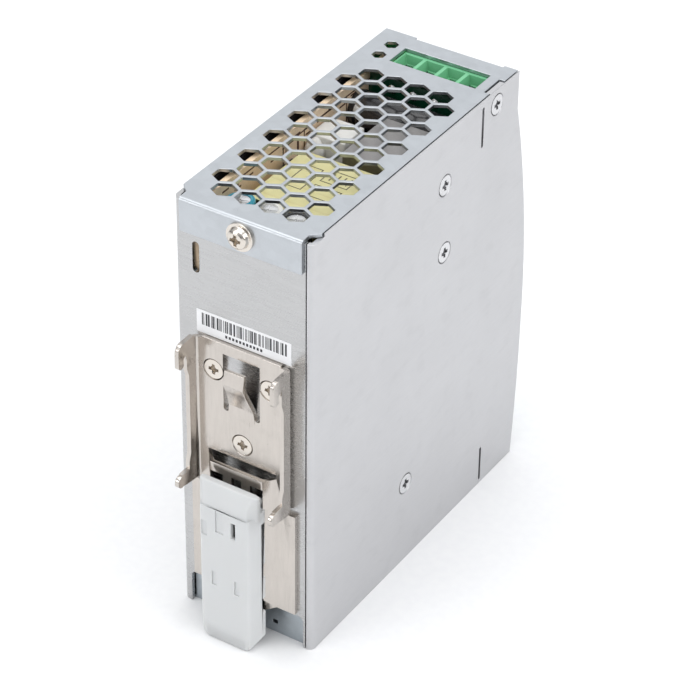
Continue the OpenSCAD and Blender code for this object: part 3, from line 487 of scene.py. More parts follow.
class Palette:
    """Every finish of the power supply by the name of its maker's material."""

    SHEETS = (
        Finish("rear_wall_aluminium", (0.50, 0.50, 0.50), 0.27, 1.0, grain=0.20, along=Along.X, marks=0.10,
               scratches=0.05, bump=0.010),
        Finish("side_aluminium", (0.60, 0.60, 0.61), 0.46, 1.0, grain=0.07, along=Along.Y, marks=0.07,
               scratches=0.03, bump=0.006),
        Finish("front_aluminium_sheet", (0.66, 0.665, 0.68), 0.44, 1.0, grain=0.08, along=Along.X,
               marks=0.08, bump=0.006),
        Finish("top_zinc_sheet", (0.515, 0.54, 0.565), 0.36, 1.0, spangle=0.14, marks=0.10, scratches=0.04,
               bump=0.008),
        Finish("bottom_zinc_sheet", (0.46, 0.50, 0.53), 0.38, 1.0, spangle=0.20, marks=0.14, scratches=0.04,
               bump=0.008),
    )
    CLIP = (
        Finish("bracket_nickel_plate", (0.57, 0.53, 0.49), 0.20, 1.0, grain=0.26, along=Along.Z, marks=0.16,
               scratches=0.08, bump=0.010),
        Finish("latch_natural_nylon", (0.66, 0.67, 0.67), 0.40, moulded=0.05, bump=0.006, subsurface=0.35,
               specular=0.35),
        Finish("latch_spring_wire", (0.62, 0.60, 0.56), 0.22, 1.0, grain=0.15, along=Along.Z, bump=0.004),
        Finish("plated_screw", (0.70, 0.65, 0.59), 0.17, 1.0, marks=0.14, scratches=0.10, bump=0.006),
        Finish("zinc_screw", (0.68, 0.68, 0.69), 0.22, 1.0, marks=0.12, scratches=0.08, bump=0.006),
    )
    LABELS = (
        Finish("label_film", (0.90, 0.90, 0.91), 0.42, moulded=0.03, bump=0.003, coat=0.15),
        Finish("label_ink", (0.028, 0.028, 0.032), 0.45, moulded=0.2, bump=0.002),
        FilmFinish("front_film", (0.80, 0.81, 0.83), 0.48, moulded=0.04, bump=0.004),
    )
    BOARDS = (
        BoardFinish("phenolic_board", (0.95, 0.74, 0.52), 0.42, fibres=0.28, marks=0.12, bump=0.006,
                    coat=0.2),
        Finish("legend_ink", (0.10, 0.045, 0.025), 0.6, fibres=0.3, bump=0.003),
        Finish("green_laminate", (0.004, 0.058, 0.028), 0.24, fibres=0.25, marks=0.3, bump=0.006, coat=0.5),
        Finish("solder_joint", (0.72, 0.72, 0.71), 0.2, 1.0, marks=0.2, scratches=0.05, bump=0.01),
        Finish("black_insulation", (0.012, 0.012, 0.014), 0.36, moulded=0.3, bump=0.004),
        Finish("post_nylon_natural", (0.60, 0.57, 0.46), 0.42, moulded=0.08, bump=0.006, subsurface=0.3),
        Finish("fixing_silicone", (0.80, 0.79, 0.76), 0.38, moulded=0.10, bump=0.02, subsurface=0.4),
    )
    MAGNETICS = (
        Finish("core_ferrite_grey", (0.055, 0.055, 0.06), 0.5, fibres=0.5, marks=0.2, bump=0.012),
        TapeFinish("polyester_tape_yellow", (0.80, 0.74, 0.36), 0.30, moulded=0.10, marks=0.12, bump=0.006,
                   coat=0.4, subsurface=0.15),
        Finish("tape_ink", (0.11, 0.10, 0.06), 0.5, moulded=0.2, bump=0.002),
        Finish("bobbin_black", (0.018, 0.018, 0.018), 0.42, moulded=0.2, bump=0.006),
        Finish("copper_enamel", (0.56, 0.22, 0.07), 0.24, 0.85, marks=0.2, bump=0.005, coat=0.6),
        Finish("powder_core_yellow", (0.56, 0.50, 0.10), 0.45, fibres=0.35, bump=0.012),
    )
    PARTS = (
        Finish("heatsink_mill", (0.42, 0.405, 0.395), 0.40, 1.0, grain=0.22, along=Along.Z, marks=0.18,
               scratches=0.06, bump=0.012),
        Finish("package_epoxy", (0.022, 0.022, 0.024), 0.5, moulded=0.25, fibres=0.2, bump=0.008),
        Finish("tinned_lead", (0.66, 0.65, 0.61), 0.26, 1.0, marks=0.2, bump=0.006),
        Finish("sleeve_black", (0.014, 0.014, 0.016), 0.24, moulded=0.2, marks=0.2, bump=0.006, coat=0.5),
        Finish("sleeve_blue", (0.016, 0.024, 0.062), 0.26, moulded=0.2, marks=0.2, bump=0.006, coat=0.5),
        Finish("sleeve_teal", (0.012, 0.26, 0.36), 0.26, moulded=0.15, marks=0.1, bump=0.006, coat=0.5),
        Finish("can_aluminium", (0.76, 0.76, 0.77), 0.26, 1.0, grain=0.12, along=Along.Y, marks=0.1,
               bump=0.006),
        Finish("film_case_white", (0.84, 0.83, 0.79), 0.32, moulded=0.06, marks=0.08, bump=0.006, coat=0.2,
               subsurface=0.2),
        Finish("fuse_ceramic_white", (0.74, 0.72, 0.66), 0.34, fibres=0.1, bump=0.006, coat=0.3),
    )
    TERMINALS = (
        Finish("terminal_green", (0.17, 0.50, 0.27), 0.38, moulded=0.10, marks=0.06, bump=0.008,
               specular=0.40, subsurface=0.06),
        Finish("terminal_tin", (0.66, 0.64, 0.58), 0.25, 1.0, grain=0.15, along=Along.Z, marks=0.15,
               bump=0.006),
        Finish("clamp_nickel", (0.66, 0.63, 0.57), 0.26, 1.0, grain=0.15, along=Along.X, marks=0.15,
               bump=0.006),
        Finish("terminal_screw_zinc", (0.72, 0.72, 0.71), 0.22, 1.0, marks=0.15, scratches=0.12, bump=0.006),
        Finish("indicator_lens", (0.10, 0.80, 0.20), 0.12, moulded=0.05, bump=0.002, transmission=0.7,
               emission=(0.05, 0.6, 0.12)),
        Finish("trimmer_blue", (0.02, 0.10, 0.46), 0.36, moulded=0.10, bump=0.006),
        Finish("trimmer_white", (0.80, 0.78, 0.70), 0.40, moulded=0.08, bump=0.006),
    )

    def __init__(self) -> None:
        """Builds all the materials once."""
        effects = Effects()
        groups = (self.SHEETS, self.CLIP, self.LABELS, self.BOARDS, self.MAGNETICS, self.PARTS,
                  self.TERMINALS)
        self.made = {f.name: f.build(effects) for group in groups for f in group}

    def __getitem__(self, name: str) -> bpy.types.Material:
        """Returns the material of that name."""
        return self.made[name]


# ------------------------------------------------------------------- mesh building
@dataclass
class Workshop:
    """Holds the frame and makes, dresses and registers pieces."""

    frame: dict
    palette: Palette
    bodies: dict[str, str] = field(default_factory=dict)
    slots: dict[str, str] = field(default_factory=dict)
    count: int = 0

    def __post_init__(self) -> None:
        """Reads which body and which material slot each CAD node has."""
        record = self.frame["record"]
        for body, nodes in record["behaviour"]["bodies"].items():
            self.bodies.update({node: body for node in nodes})
        self.slots = {part["node"]: part["material_slot"] for part in record["subparts"]}

    def register(self, piece: bpy.types.Object, node: str, replace: bool = True) -> bpy.types.Object:
        """Rides a piece on a node's body and may hide the node.

        Args:
            piece: the finished object.
            node: the CAD node that it belongs to.
            replace: True where the piece stands for the node.

        Returns:
            The same piece.
        """
        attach(piece, self.bodies[node])
        if replace:
            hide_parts(node)
        self.count += 1
        LOG.info("piece %s rides on %s: %d faces", piece.name, self.bodies[node], len(piece.data.polygons))
        return piece

    def make(self, name: str, bm: bmesh.types.BMesh, finishes: list[str], sharp: float = 32.0,
             normals: bool = True) -> bpy.types.Object:
        """Turns a bmesh into an object at the origin with smooth faces and sharp edges.

        Args:
            name: the piece's name.
            bm: the mesh, which is freed.
            finishes: palette names, in the order of the faces' material numbers.
            sharp: the angle in degrees above which an edge stays sharp.
            normals: True where the faces' outside is worked out again.

        Returns:
            The new object.
        """
        if normals:
            bmesh.ops.recalc_face_normals(bm, faces=bm.faces[:])
        mesh = bpy.data.meshes.new(name)
        bm.to_mesh(mesh)
        bm.free()
        for finish in finishes:
            mesh.materials.append(self.palette[finish])
        mesh.shade_smooth()
        mesh.set_sharp_from_angle(angle=math.radians(sharp))
        piece = bpy.data.objects.new(name, mesh)
        bpy.context.scene.collection.objects.link(piece)
        return piece

    @staticmethod
    def sharp_groups(bm: bmesh.types.BMesh, width: float, angle: float) -> list[list[bmesh.types.BMEdge]]:
        """Finds the sharp edges that can take a radius, in groups that touch.

        Args:
            bm: the mesh.
            width: the radius in metres; edges at corners with shorter ones are left.
            angle: the least angle in degrees.

        Returns:
            One list of edges for each group.
        """
        tight = {v for v in bm.verts if any(e.calc_length() < 1.3 * width for e in v.link_edges)}
        left = {e for e in bm.edges if len(e.link_faces) == 2
                and e.calc_face_angle(0.0) > math.radians(angle) and not tight & set(e.verts)}
        groups = []
        for start in [e for e in bm.edges if e in left]:
            if start not in left:
                continue
            left.discard(start)
            group, queue = [start], [start]
            while queue:
                for vert in queue.pop().verts:
                    for edge in vert.link_edges:
                        if edge in left:
                            left.discard(edge)
                            group.append(edge)
                            queue.append(edge)
            groups.append(group)
        return groups

    def refined(self, node: str, name: str, finish: str, width: float, segments: int = 2) -> bpy.types.Object:
        """Copies a CAD node, cleans its faces and rounds its edges.

        Args:
            node: the CAD node to stand for.
            name: the new piece's name.
            finish: its palette name.
            width: the edge radius in millimetres.
            segments: how many steps each rounded edge has.

        Returns:
            The new piece, riding on the node's body.
        """
        bm = bmesh.new()
        bm.from_mesh(self.frame["nodes"][node].data)
        bmesh.ops.remove_doubles(bm, verts=bm.verts[:], dist=0.02 * MM)
        bmesh.ops.dissolve_degenerate(bm, edges=bm.edges[:], dist=0.02 * MM)
        bmesh.ops.dissolve_limit(bm, angle_limit=math.radians(0.3), verts=bm.verts[:], edges=bm.edges[:])
        for group in self.sharp_groups(bm, width * MM, 32.0):
            bmesh.ops.bevel(bm, geom=group, offset=width * MM, segments=segments, profile=0.5,
                            affect="EDGES", clamp_overlap=True, material=-1)
        for face in bm.faces:
            face.material_index = 0
        piece = self.make(name, bm, [finish], normals=False)
        even = piece.modifiers.new("even_shading", "WEIGHTED_NORMAL")
        even.keep_sharp = True
        return self.register(piece, node)

    def dress(self, node: str, finish: str) -> None:
        """Gives a CAD node that stays a finish of the palette."""
        for seat in self.frame["nodes"][node].material_slots:
            seat.material = self.palette[finish]
        LOG.info("node %s wears %s", node, finish)


class Shapes:
    """Small solids added to a bmesh, all from operators."""

    @staticmethod
    def pour(bm: bmesh.types.BMesh, part: bmesh.types.BMesh, matrix: Matrix, slot: int) -> None:
        """Places a finished solid in a bigger mesh and frees it.

        Args:
            bm: the mesh that it goes in.
            part: the solid, about its own origin.
            matrix: where it goes.
            slot: its faces' material number.
        """
        bmesh.ops.transform(part, matrix=matrix, verts=part.verts[:])
        bmesh.ops.recalc_face_normals(part, faces=part.faces[:])
        for face in part.faces:
            face.material_index = slot
        carrier = bpy.data.meshes.new("carrier")
        part.to_mesh(carrier)
        part.free()
        bm.from_mesh(carrier)
        bpy.data.meshes.remove(carrier)

    @staticmethod
    def block(bm: bmesh.types.BMesh, low: Vector, high: Vector, slot: int = 0, radius: float = 0.0,
              turn: Matrix | None = None) -> None:
        """Adds a box between two corners, with rounded edges if radius is given.

        Args:
            bm: the mesh that it goes in.
            low: its lowest corner.
            high: its highest corner.
            slot: its faces' material number.
            radius: the edge radius in metres.
            turn: a matrix applied after the box is made, if any.
        """
        part = bmesh.new()
        size, middle = high - low, (high + low) / 2
        bmesh.ops.create_cube(part, size=1.0, matrix=Matrix.Translation(middle) @ Matrix.Diagonal((*size,
            1.0)))
        if radius > 0:
            bmesh.ops.bevel(part, geom=part.edges[:], offset=radius, segments=2, profile=0.5, affect="EDGES",
                            material=-1)
        Shapes.pour(bm, part, turn or Matrix.Identity(4), slot)

    @staticmethod
    def lathe(bm: bmesh.types.BMesh, profile: list[tuple[float, float]], origin: Vector, axis: Vector,
              slot: int = 0, steps: int = 40) -> None:
        """Spins a profile round an axis.

        Args:
            bm: the mesh that it goes in.
            profile: (radius, height along the axis) points in millimetres, starting and ending on the axis.
            origin: the point of height 0.
            axis: the axis' direction.
            slot: the faces' material number.
            steps: the sides of the turned piece.
        """
        part = bmesh.new()
        line = [part.verts.new((r * MM, 0.0, h * MM)) for r, h in profile]
        edges = [part.edges.new(pair) for pair in zip(line, line[1:])]
        bmesh.ops.spin(part, geom=line + edges, cent=(0, 0, 0), axis=(0, 0, 1), angle=2 * math.pi,
                       steps=steps, use_merge=True)
        bmesh.ops.remove_doubles(part, verts=part.verts[:], dist=0.001 * MM)
        turn = axis.normalized().to_track_quat("Z", "Y").to_matrix().to_4x4()
        Shapes.pour(bm, part, Matrix.Translation(origin) @ turn, slot)

    @staticmethod
    def blob(bm: bmesh.types.BMesh, middle: Vector, size: Vector, slot: int, seed: int) -> None:
        """Adds a squashed, slightly uneven ball of that half size."""
        part = bmesh.new()
        bmesh.ops.create_icosphere(part, subdivisions=3, radius=1.0)
        draw = random.Random(seed)
        phase = [draw.uniform(0, 6.28) for _ in range(3)]
        for vert in part.verts:
            swell = 1.0 + 0.10 * math.sin(3.1 * vert.co.x + phase[0]) * math.sin(2.7 * vert.co.y + phase[1])
            vert.co *= swell + 0.05 * math.sin(5.0 * vert.co.z + phase[2])
        Shapes.pour(bm, part, Matrix.Translation(middle) @ Matrix.Diagonal((*size, 1.0)), slot)

    @staticmethod
    def outline(bm: bmesh.types.BMesh, low: Vector, high: Vector, width: float, flat: int,
                slot: int = 0) -> None:
        """Adds the four thin strips of a rectangle drawn on a plane.

        Args:
            bm: the mesh that they go in.
            low: the drawing's lowest corner.
            high: its highest corner.
            width: the strips' width in metres.
            flat: the axis number that the plane faces.
            slot: the faces' material number.
        """
        a, b = [i for i in range(3) if i != flat]
        for axis in (a, b):
            other = b if axis == a else a
            for end in (0, 1):
                lo, hi = low.copy(), high.copy()
                if end:
                    lo[other] = high[other] - width
                else:
                    hi[other] = low[other] + width
                if axis == b:
                    lo[axis] += width
                    hi[axis] -= width
                Shapes.block(bm, lo, hi, slot)


# --------------------------------------------------------------------- sub-assemblies
@dataclass
class SheetCase:
    """The folded sheets of the case and the labels stuck on them."""

    shop: Workshop
    edge: float = 0.16
    top_edge: float = 0.12
    bar_seed: int = 11
    bar_widths: tuple = (0.18, 0.18, 0.34, 0.5)
    bar_margin: tuple = (1.3, 1.5)
    bar_reach: tuple = (2.4, 0.7)
    dash_count: int = 11
    dash_start: float = 8.4
    dash_pitch: float = 1.02
    dash_width: float = 0.62
    dash_reach: tuple = (0.9, 1.7)

    def build(self) -> None:
        """Makes every sheet and label."""
        self.shop.refined("chassis", "chassis_sheet", "rear_wall_aluminium", self.edge)
        self.shop.refined("side_cover", "side_cover_sheet", "side_aluminium", self.edge)
        self.shop.refined("top_cover", "top_cover_sheet", "top_zinc_sheet", self.top_edge)
        self.shop.refined("bottom_cover", "bottom_cover_sheet", "bottom_zinc_sheet", self.top_edge)
        self.shop.refined("front_panel", "front_panel_sheet", "front_aluminium_sheet", self.edge)
        self.shop.dress("front_label", "front_film")
        self.code_label()

    def code_label(self) -> None:
        """Makes the small rear label with plain bars and even dashes under them."""
        low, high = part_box("code_label")
        bm = bmesh.new()
        Shapes.block(bm, low, high - mm(0, 0.02, 0), 0)
        draw = random.Random(self.bar_seed)
        back, face = high.y - 0.021 * MM, high.y - 0.002 * MM
        x, turn = low.x + self.bar_margin[0] * MM, 0
        while x < high.x - self.bar_margin[1] * MM:
            width = draw.choice(self.bar_widths) * MM
            if turn % 2 == 0:
                Shapes.block(bm, Vector((x, back, low.z + self.bar_reach[0] * MM)),
                             Vector((x + width, face, high.z - self.bar_reach[1] * MM)), 1)
            x += width if turn % 2 == 0 else width * 0.9
            turn += 1
        for i in range(self.dash_count):
            left = low.x + (self.dash_start + i * self.dash_pitch) * MM
            Shapes.block(bm, Vector((left, back, low.z + self.dash_reach[0] * MM)),
                         Vector((left + self.dash_width * MM, face, low.z + self.dash_reach[1] * MM)), 1)
        self.shop.register(self.shop.make("code_label_print", bm, ["label_film", "label_ink"]), "code_label")


@dataclass
class RailClip:
    """The plated bracket, the nylon latch and the spring that lifts it."""

    shop: Workshop
    bracket_edge: float = 0.15
    latch_edge: float = 0.40

    def build(self) -> None:
        """Makes the clip."""
        self.shop.refined("din_bracket", "rail_bracket", "bracket_nickel_plate", self.bracket_edge, 3)
        self.shop.refined("din_latch", "rail_latch", "latch_natural_nylon", self.latch_edge, 3)
        self.shop.dress("latch_spring", "latch_spring_wire")


@dataclass
class Fasteners:
    """All the screws of the case."""

    shop: Workshop
    edge: float = 0.13

    def build(self) -> None:
        """Rounds and plates each group of screws."""
        self.shop.refined("bracket_screws", "bracket_screw_set", "plated_screw", self.edge)
        self.shop.refined("flange_screw", "flange_pan_screw", "plated_screw", self.edge)
        self.shop.refined("side_screws", "side_screw_set", "zinc_screw", self.edge)
        self.shop.refined("left_screws", "left_screw_set", "zinc_screw", self.edge)
        self.shop.refined("device_screws", "device_screw_set", "zinc_screw", self.edge)


@dataclass
class BoardSet:
    """The circuit boards with their print, their solder and what insulates and carries them."""

    shop: Workshop
    ink: float = 0.45
    joint_profile: tuple = ((0.0, 0.0), (1.35, 0.0), (0.95, 0.22), (0.66, 0.62), (0.5, 1.05), (0.32, 1.22),
                            (0.0, 1.26))
    small_joint: float = 0.7

    def build(self) -> None:
        """Makes the boards."""
        for node, name in (("main_board", "main_circuit_board"), ("rear_board", "rear_circuit_board")):
            self.shop.refined(node, name, "phenolic_board", 0.12)
        for node, name in (("output_board", "output_circuit_board"), ("input_board", "input_circuit_board")):
            self.shop.refined(node, name, "green_laminate", 0.12)
        self.shop.dress("insulation_sheet", "black_insulation")
        self.shop.refined("board_posts", "board_post_set", "post_nylon_natural", 0.15)
        self.legend()
        self.solder("dc_busbars", "output_board", "output_solder_joints", "dc")
        self.solder("ac_busbars", "input_board", "input_solder_joints", "ac")
        self.compound()

    def legend(self) -> None:
        """Draws plain outlines of the parts on the main board's component face."""
        low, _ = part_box("main_board")
        face = low.x
        bm = bmesh.new()
        frames = []
        for node, grow in (("transformer_core", 2.2), ("rear_board", 1.0), ("film_capacitors", 1.4),
                           ("output_heatsink", 1.5)):
            lo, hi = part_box(node)
            frames.append((lo.y - grow * MM, lo.z - grow * MM, hi.y + grow * MM, hi.z + grow * MM))
        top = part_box("main_board")[1].z
        frames += [(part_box("transformer_core")[0].y - 9 * MM, top - 14 * MM,
                    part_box("transformer_core")[0].y - 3 * MM, top - 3 * MM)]
        for y0, z0, y1, z1 in frames:
            lo = Vector((face - 0.03 * MM, max(y0, low.y + 0.8 * MM), max(z0, low.z + 0.8 * MM)))
            hi = Vector((face - 0.001 * MM, y1, min(z1, top - 0.8 * MM)))
            Shapes.outline(bm, lo, hi, self.ink * MM, 0)
        step = 5.2 * MM
        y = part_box("output_capacitors")[0].y
        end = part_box("main_board")[1].y - 4 * MM
        index = 0
        while y < end:
            lo = Vector((face - 0.03 * MM, y, top - (2.6 + index % 3) * MM))
            Shapes.block(bm, lo, Vector((face - 0.001 * MM, y + 2.8 * MM, top - (2.1 + index % 3) * MM)))
            y += step
            index += 1
        self.shop.register(self.shop.make("board_legend", bm, ["legend_ink"]), "main_board", replace=False)

    def solder(self, bars: str, board: str, name: str, kind: str) -> None:
        """Adds a solder joint where each pin leaves a board's rear face.

        Args:
            bars: the node whose pins come through.
            board: the board's node.
            name: the new piece's name.
            kind: dc or ac, the start of the way's screw nodes.
        """
        low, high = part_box(board)
        bar_low, bar_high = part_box(bars)
        bm = bmesh.new()
        height = bar_high.z - 1.1 * MM if kind == "dc" else bar_low.z + 1.1 * MM
        for i in range(1, 5 if kind == "dc" else 4):
            lo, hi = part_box(f"{kind}_screw_{i}")
            Shapes.lathe(bm, list(self.joint_profile),
                         Vector(((lo.x + hi.x) / 2, high.y - 0.02 * MM, height)), Vector((0, 1, 0)), steps=20)
        small = [(r * self.small_joint, h * self.small_joint) for r, h in self.joint_profile]
        for i in range(6):
            stagger = i * 37 % 5
            away = -9.0 - stagger * 2.1 if kind == "dc" else 9.0 + stagger * 2.0
            spot = Vector((low.x + (4.4 + i * 4.6) * MM, high.y - 0.02 * MM, height + away * MM))
            Shapes.lathe(bm, small, spot, Vector((0, 1, 0)), steps=16)
        self.shop.register(self.shop.make(name, bm, ["solder_joint"]), board, replace=False)

    def compound(self) -> None:
        """Adds the white fixing compound between the tall parts."""
        low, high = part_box("film_capacitors")
        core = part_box("transformer_core")[0]
        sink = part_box("output_heatsink")[1]
        bm = bmesh.new()
        dabs = (
            (Vector((high.x, high.y, high.z)), mm(-3.2, 1.0, -3.6), mm(2.6, 2.0, 3.2), 3),
            (Vector((high.x, core.y, high.z)), mm(-6.0, -4.4, -5.0), mm(3.0, 1.8, 3.0), 5),
            (Vector((sink.x, sink.y, high.z)), mm(-3.0, -23.0, -3.0), mm(2.4, 1.6, 2.6), 8),
        )
        for corner, shift, size, seed in dabs:
            Shapes.blob(bm, corner + shift, size, 0, seed)
        self.shop.register(self.shop.make("fixing_compound", bm, ["fixing_silicone"]), "main_board",
                           replace=False)


@dataclass
class Magnetics:
    """The transformer and the two chokes."""

    shop: Workshop

    def build(self) -> None:
        """Makes the wound parts."""
        self.shop.refined("transformer_core", "transformer_ferrite", "core_ferrite_grey", 0.35, 3)
        self.shop.refined("transformer_winding", "transformer_coil", "polyester_tape_yellow", 0.9, 4)
        self.shop.refined("transformer_tape", "transformer_wrap", "polyester_tape_yellow", 0.12)
        self.shop.refined("transformer_bobbin", "transformer_former", "bobbin_black", 0.1)
        self.shop.dress("choke_core", "core_ferrite_grey")
        self.shop.refined("choke_winding", "choke_turns", "copper_enamel", 0.32, 3)
        self.shop.dress("output_choke_core", "powder_core_yellow")
        self.shop.refined("output_choke_coil", "output_choke_turns", "copper_enamel", 0.3, 3)
        self.mark()

    def mark(self) -> None:
        """Draws two plain ink frames on the top of the tape."""
        low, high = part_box("transformer_tape")
        bm = bmesh.new()
        top = high.z
        for x0, y0, x1, y1 in ((3.2, 4.0, 11.0, 9.8), (3.2, 11.6, 11.0, 17.0), (12.6, 5.2, 17.6, 15.8)):
            lo = Vector((low.x + x0 * MM, low.y + y0 * MM, top + 0.001 * MM))
            hi = Vector((low.x + x1 * MM, low.y + y1 * MM, top + 0.02 * MM))
            Shapes.outline(bm, lo, hi, 0.28 * MM, 2)
        for i in range(4):
            lo = Vector((low.x + (4.2 + i * 1.6) * MM, low.y + 5.2 * MM, top + 0.001 * MM))
            Shapes.block(bm, lo, lo + mm(0.35, 3.3, 0.019))
        self.shop.register(self.shop.make("transformer_mark", bm, ["tape_ink"]), "transformer_tape",
                           replace=False)


@dataclass
class PowerParts:
    """Heatsinks, packages, capacitors and the fuse."""

    shop: Workshop
    shoulder: float = 0.7

    def build(self) -> None:
        """Makes the parts that stand on the main board."""
        self.shop.refined("output_heatsink", "output_sink_plate", "heatsink_mill", 0.15)
        self.shop.refined("input_heatsink", "input_sink_plate", "heatsink_mill", 0.15)
        self.shop.refined("output_rectifiers", "rectifier_packages", "package_epoxy", 0.12)
        self.shop.refined("switch_transistor", "transistor_package", "package_epoxy", 0.12)
        self.shop.refined("bridge_rectifier", "bridge_package", "package_epoxy", 0.18)
        self.shop.refined("film_capacitors", "film_capacitor_set", "film_case_white", 0.35, 3)
        self.shop.refined("fuse", "fuse_body", "fuse_ceramic_white", 0.2)
        self.lying_cans()
        self.rear_cans()

    def can_profile(self, radius: float, length: float, lip: float) -> list[tuple[float, float]]:
        """Returns a sleeved can's outline from its base to its rolled-over end."""
        s = self.shoulder
        return [(0.0, 0.0), (radius - s * 0.4, 0.0), (radius - 0.1, s * 0.3), (radius, s), (radius, 1.6),
                (radius - 0.35, 2.1), (radius, 2.7),
                (radius, length - s), (radius - s * 0.3, length - s * 0.3), (radius - s, length),
                (radius - s - lip, length), (radius - s - lip, length - 0.25)]

    def top_profile(self, radius: float, length: float, lip: float) -> list[tuple[float, float]]:
        """Returns the bare metal end inside the sleeve's lip."""
        r = radius - self.shoulder - lip + 0.02
        return [(0.0, length - 0.9), (r, length - 0.9), (r, length - 0.28), (r - 0.3, length - 0.22),
                (0.0, length - 0.30)]

    def can(self, bm: bmesh.types.BMesh, base: Vector, axis: Vector, radius: float, length: float,
            sleeve: int, top: int) -> None:
        """Adds one capacitor with a vent cross pressed in its end.

        Args:
            bm: the mesh that it goes in.
            base: the middle of its foot.
            axis: the way it points.
            radius: its radius in millimetres.
            length: its length in millimetres.
            sleeve: the sleeve's material number.
            top: the end's material number.
        """
        lip = max(0.5, radius * 0.14)
        outer = self.can_profile(radius, length, lip)
        Shapes.lathe(bm, outer + [(0.0, length - 0.8)], base, axis, sleeve)
        Shapes.lathe(bm, self.top_profile(radius, length, lip), base, axis, top)
        turn = Matrix.Translation(base) @ axis.normalized().to_track_quat("Z", "Y").to_matrix().to_4x4()
        reach, bar = radius * 0.55, 0.14
        for angle in (0.4, 0.4 + math.pi / 2):
            Shapes.block(bm, mm(-reach, -bar, length - 0.32), mm(reach, bar, length - 0.15), top,
                         turn=turn @ Matrix.Rotation(angle, 4, "Z"))

    def lying_cans(self) -> None:
        """Makes the bulk capacitor and the three output capacitors, which point to -X."""
        low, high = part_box("bulk_capacitor")
        radius = (high.y - low.y) / 2 / MM
        bm = bmesh.new()
        middle = (low + high) / 2
        self.can(bm, Vector((high.x, middle.y, middle.z)), Vector((-1, 0, 0)), radius, (high.x - low.x) / MM,
                 0, 1)
        self.shop.register(self.shop.make("bulk_capacitor_can", bm, ["sleeve_blue", "can_aluminium"]),
                           "bulk_capacitor")
        low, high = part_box("output_capacitors")
        radius = (high.y - low.y) / 2 / MM
        pitch = (high.z - low.z - 2 * radius * MM) / 2
        bm = bmesh.new()
        for i in range(3):
            foot = Vector((high.x, (low.y + high.y) / 2, low.z + radius * MM + i * pitch))
            self.can(bm, foot, Vector((-1, 0, 0)), radius, (high.x - low.x) / MM, 0, 1)
        self.shop.register(self.shop.make("output_capacitor_cans", bm, ["sleeve_black", "can_aluminium"]),
                           "output_capacitors")

    def rear_cans(self) -> None:
        """Makes the three small cans that stand behind the transformer, each in its own sleeve."""
        low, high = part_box("rear_capacitors")
        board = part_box("rear_board")[1]
        radius = (high.y - low.y) / 2 / MM
        pitch = (high.x - low.x - 2 * radius * MM) / 2
        bm = bmesh.new()
        for i, sleeve in enumerate((2, 3, 0)):
            foot = Vector((low.x + radius * MM + i * pitch, (low.y + high.y) / 2, board.z + 0.6 * MM))
            self.can(bm, foot, Vector((0, 0, 1)), radius, (high.z - foot.z) / MM, sleeve, 1)
            for side in (-1.2, 1.2):
                Shapes.lathe(bm, [(0, -3.0), (0.3, -3.0), (0.3, 0.1), (0, 0.1)], foot + mm(side, 0, 0),
                             Vector((0, 0, 1)), 1, 12)
        names = ["sleeve_teal", "can_aluminium", "sleeve_black", "film_case_white"]
        self.shop.register(self.shop.make("rear_capacitor_cans", bm, names), "rear_capacitors")


@dataclass
class TerminalBlock:
    """One screw terminal: its moulding, its bars and its moving screws and clamps."""

    shop: Workshop
    kind: str
    ways: int

    def build(self) -> None:
        """Makes the block and each way's screw and clamp."""
        self.shop.refined(f"{self.kind}_terminal", f"{self.kind}_terminal_block", "terminal_green", 0.16)
        self.shop.refined(f"{self.kind}_busbars", f"{self.kind}_terminal_bars", "terminal_tin", 0.08)
        for i in range(1, self.ways + 1):
            self.shop.refined(f"{self.kind}_screw_{i}", f"{self.kind}_terminal_screw_{i}",
                              "terminal_screw_zinc", 0.12)
            self.shop.refined(f"{self.kind}_clamp_{i}", f"{self.kind}_terminal_clamp_{i}", "clamp_nickel",
                              0.10)


@dataclass
class FrontControls:
    """The indicator and the output trimmer."""

    shop: Workshop

    def build(self) -> None:
        """Makes the indicator and the trimmer."""
        self.shop.dress("led", "indicator_lens")
        self.shop.refined("trimmer_body", "trimmer_case", "trimmer_blue", 0.15)
        self.shop.refined("trimmer_rotor", "trimmer_dial", "trimmer_white", 0.08)


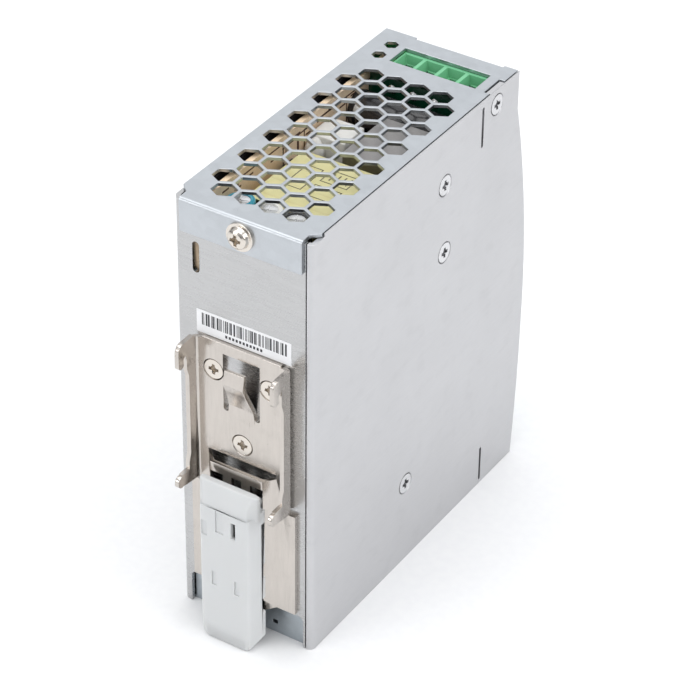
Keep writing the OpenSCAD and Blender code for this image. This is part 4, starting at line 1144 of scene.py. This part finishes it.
# ------------------------------------------------------------------------- studio
@dataclass
class Studio:
    """Pale floor, soft lights, plain surroundings and the camera."""

    azimuth: float = 212.22
    elevation: float = 35.41
    roll: float = 0.73
    place: Triple = (-0.3282, 0.5194, 0.4960)
    lens: float = 149.9
    sensor: float = 36.0

    def build(self) -> None:
        """Sets the whole stage."""
        self.camera()
        self.floor()
        self.world()
        self.softbox("overhead_softbox", (0.10, 0.15, 1.25), (0.0, 0.0, 0.05), 1.3, 9.0)
        self.softbox("side_softbox", (-1.25, -0.10, 0.75), (0.0, 0.0, 0.06), 0.9, 6.0)
        self.softbox("rear_softbox", (0.65, 1.15, 0.55), (0.0, 0.05, 0.06), 0.6, 3.0)
        self.softbox("far_softbox", (0.45, -0.85, 0.75), (0.0, 0.0, 0.10), 1.0, 1.3)

    def camera(self) -> None:
        """Puts the camera at its fitted place and turn."""
        data = bpy.data.cameras.new("camera")
        data.lens, data.sensor_width = self.lens, self.sensor
        data.clip_start, data.clip_end = 0.01, 20.0
        camera = bpy.data.objects.new("camera", data)
        bpy.context.scene.collection.objects.link(camera)
        az, el, roll = (math.radians(v) for v in (self.azimuth, self.elevation, self.roll))
        back = Vector((math.sin(az) * math.cos(el), -math.cos(az) * math.cos(el), math.sin(el)))
        right = Vector((0, 0, 1)).cross(back).normalized()
        up = back.cross(right)
        turned_right = right * math.cos(roll) + up * math.sin(roll)
        turned_up = up * math.cos(roll) - right * math.sin(roll)
        turn = Matrix((turned_right, turned_up, back)).transposed()
        camera.matrix_world = Matrix.Translation(Vector(self.place)) @ turn.to_4x4()
        bpy.context.scene.camera = camera

    def floor(self) -> None:
        """Lays the pale floor."""
        bm = bmesh.new()
        bmesh.ops.create_grid(bm, x_segments=1, y_segments=1, size=3.0)
        mesh = bpy.data.meshes.new("studio_floor")
        bm.to_mesh(mesh)
        bm.free()
        floor = bpy.data.objects.new("studio_floor", mesh)
        bpy.context.scene.collection.objects.link(floor)
        material = bpy.data.materials.new("floor_paper")
        material.use_nodes = True
        t = Tree(material.node_tree)
        shader = material.node_tree.nodes["Principled BSDF"]
        paper = t.noise(t.add("TexCoord").outputs["Object"], 400.0, 3.0)
        t.feed(t.mix(t.span(paper, 0.3, 0.7), (0.90, 0.90, 0.905, 1.0), (0.92, 0.92, 0.92, 1.0)),
               shader.inputs["Base Color"])
        shader.inputs["Roughness"].default_value = 0.8
        shader.inputs["Specular IOR Level"].default_value = 0.1
        mesh.materials.append(material)

    def world(self) -> None:
        """Gives the surroundings a pale gradient with a dimmer horizon."""
        world = bpy.data.worlds.new("studio_surround")
        bpy.context.scene.world = world
        world.use_nodes = True
        t = Tree(world.node_tree)
        sky = world.node_tree.nodes["Background"]
        split = t.add("SeparateXYZ")
        t.feed(t.add("TexCoord").outputs["Generated"], split.inputs[0])
        level = t.span(split.outputs["Z"], 0.0, 0.55)
        t.feed(t.mix(level, (0.30, 0.30, 0.31, 1.0), (0.95, 0.97, 1.0, 1.0)), sky.inputs["Color"])
        sky.inputs["Strength"].default_value = 0.75

    def softbox(self, name: str, place: Triple, aim: Triple, size: float, power: float) -> None:
        """Hangs one square soft light.

        Args:
            name: the light's name.
            place: where it hangs.
            aim: the point that it faces.
            size: its side in metres.
            power: its power in watts.
        """
        data = bpy.data.lights.new(name, "AREA")
        data.size, data.energy = size, power
        light = bpy.data.objects.new(name, data)
        bpy.context.scene.collection.objects.link(light)
        way = Vector(aim) - Vector(place)
        light.matrix_world = Matrix.Translation(Vector(place)) @ way.to_track_quat("-Z",
            "Y").to_matrix().to_4x4()


def main() -> None:
    """Builds the stage and every sub-assembly in order."""
    logging.basicConfig(level=logging.INFO, format="%(name)s: %(message)s")
    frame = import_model()
    bpy.context.scene.view_settings.view_transform = "Standard"
    Studio().build()
    shop = Workshop(frame, Palette())
    assemblies = (SheetCase(shop), RailClip(shop), Fasteners(shop), BoardSet(shop), Magnetics(shop),
                  PowerParts(shop),
                  TerminalBlock(shop, "dc", 4), TerminalBlock(shop, "ac", 3), FrontControls(shop))
    for assembly in assemblies:
        assembly.build()
        LOG.info("%s is built", type(assembly).__name__)
    LOG.info("%d pieces made", shop.count)


if __name__ == "__main__":
    main()
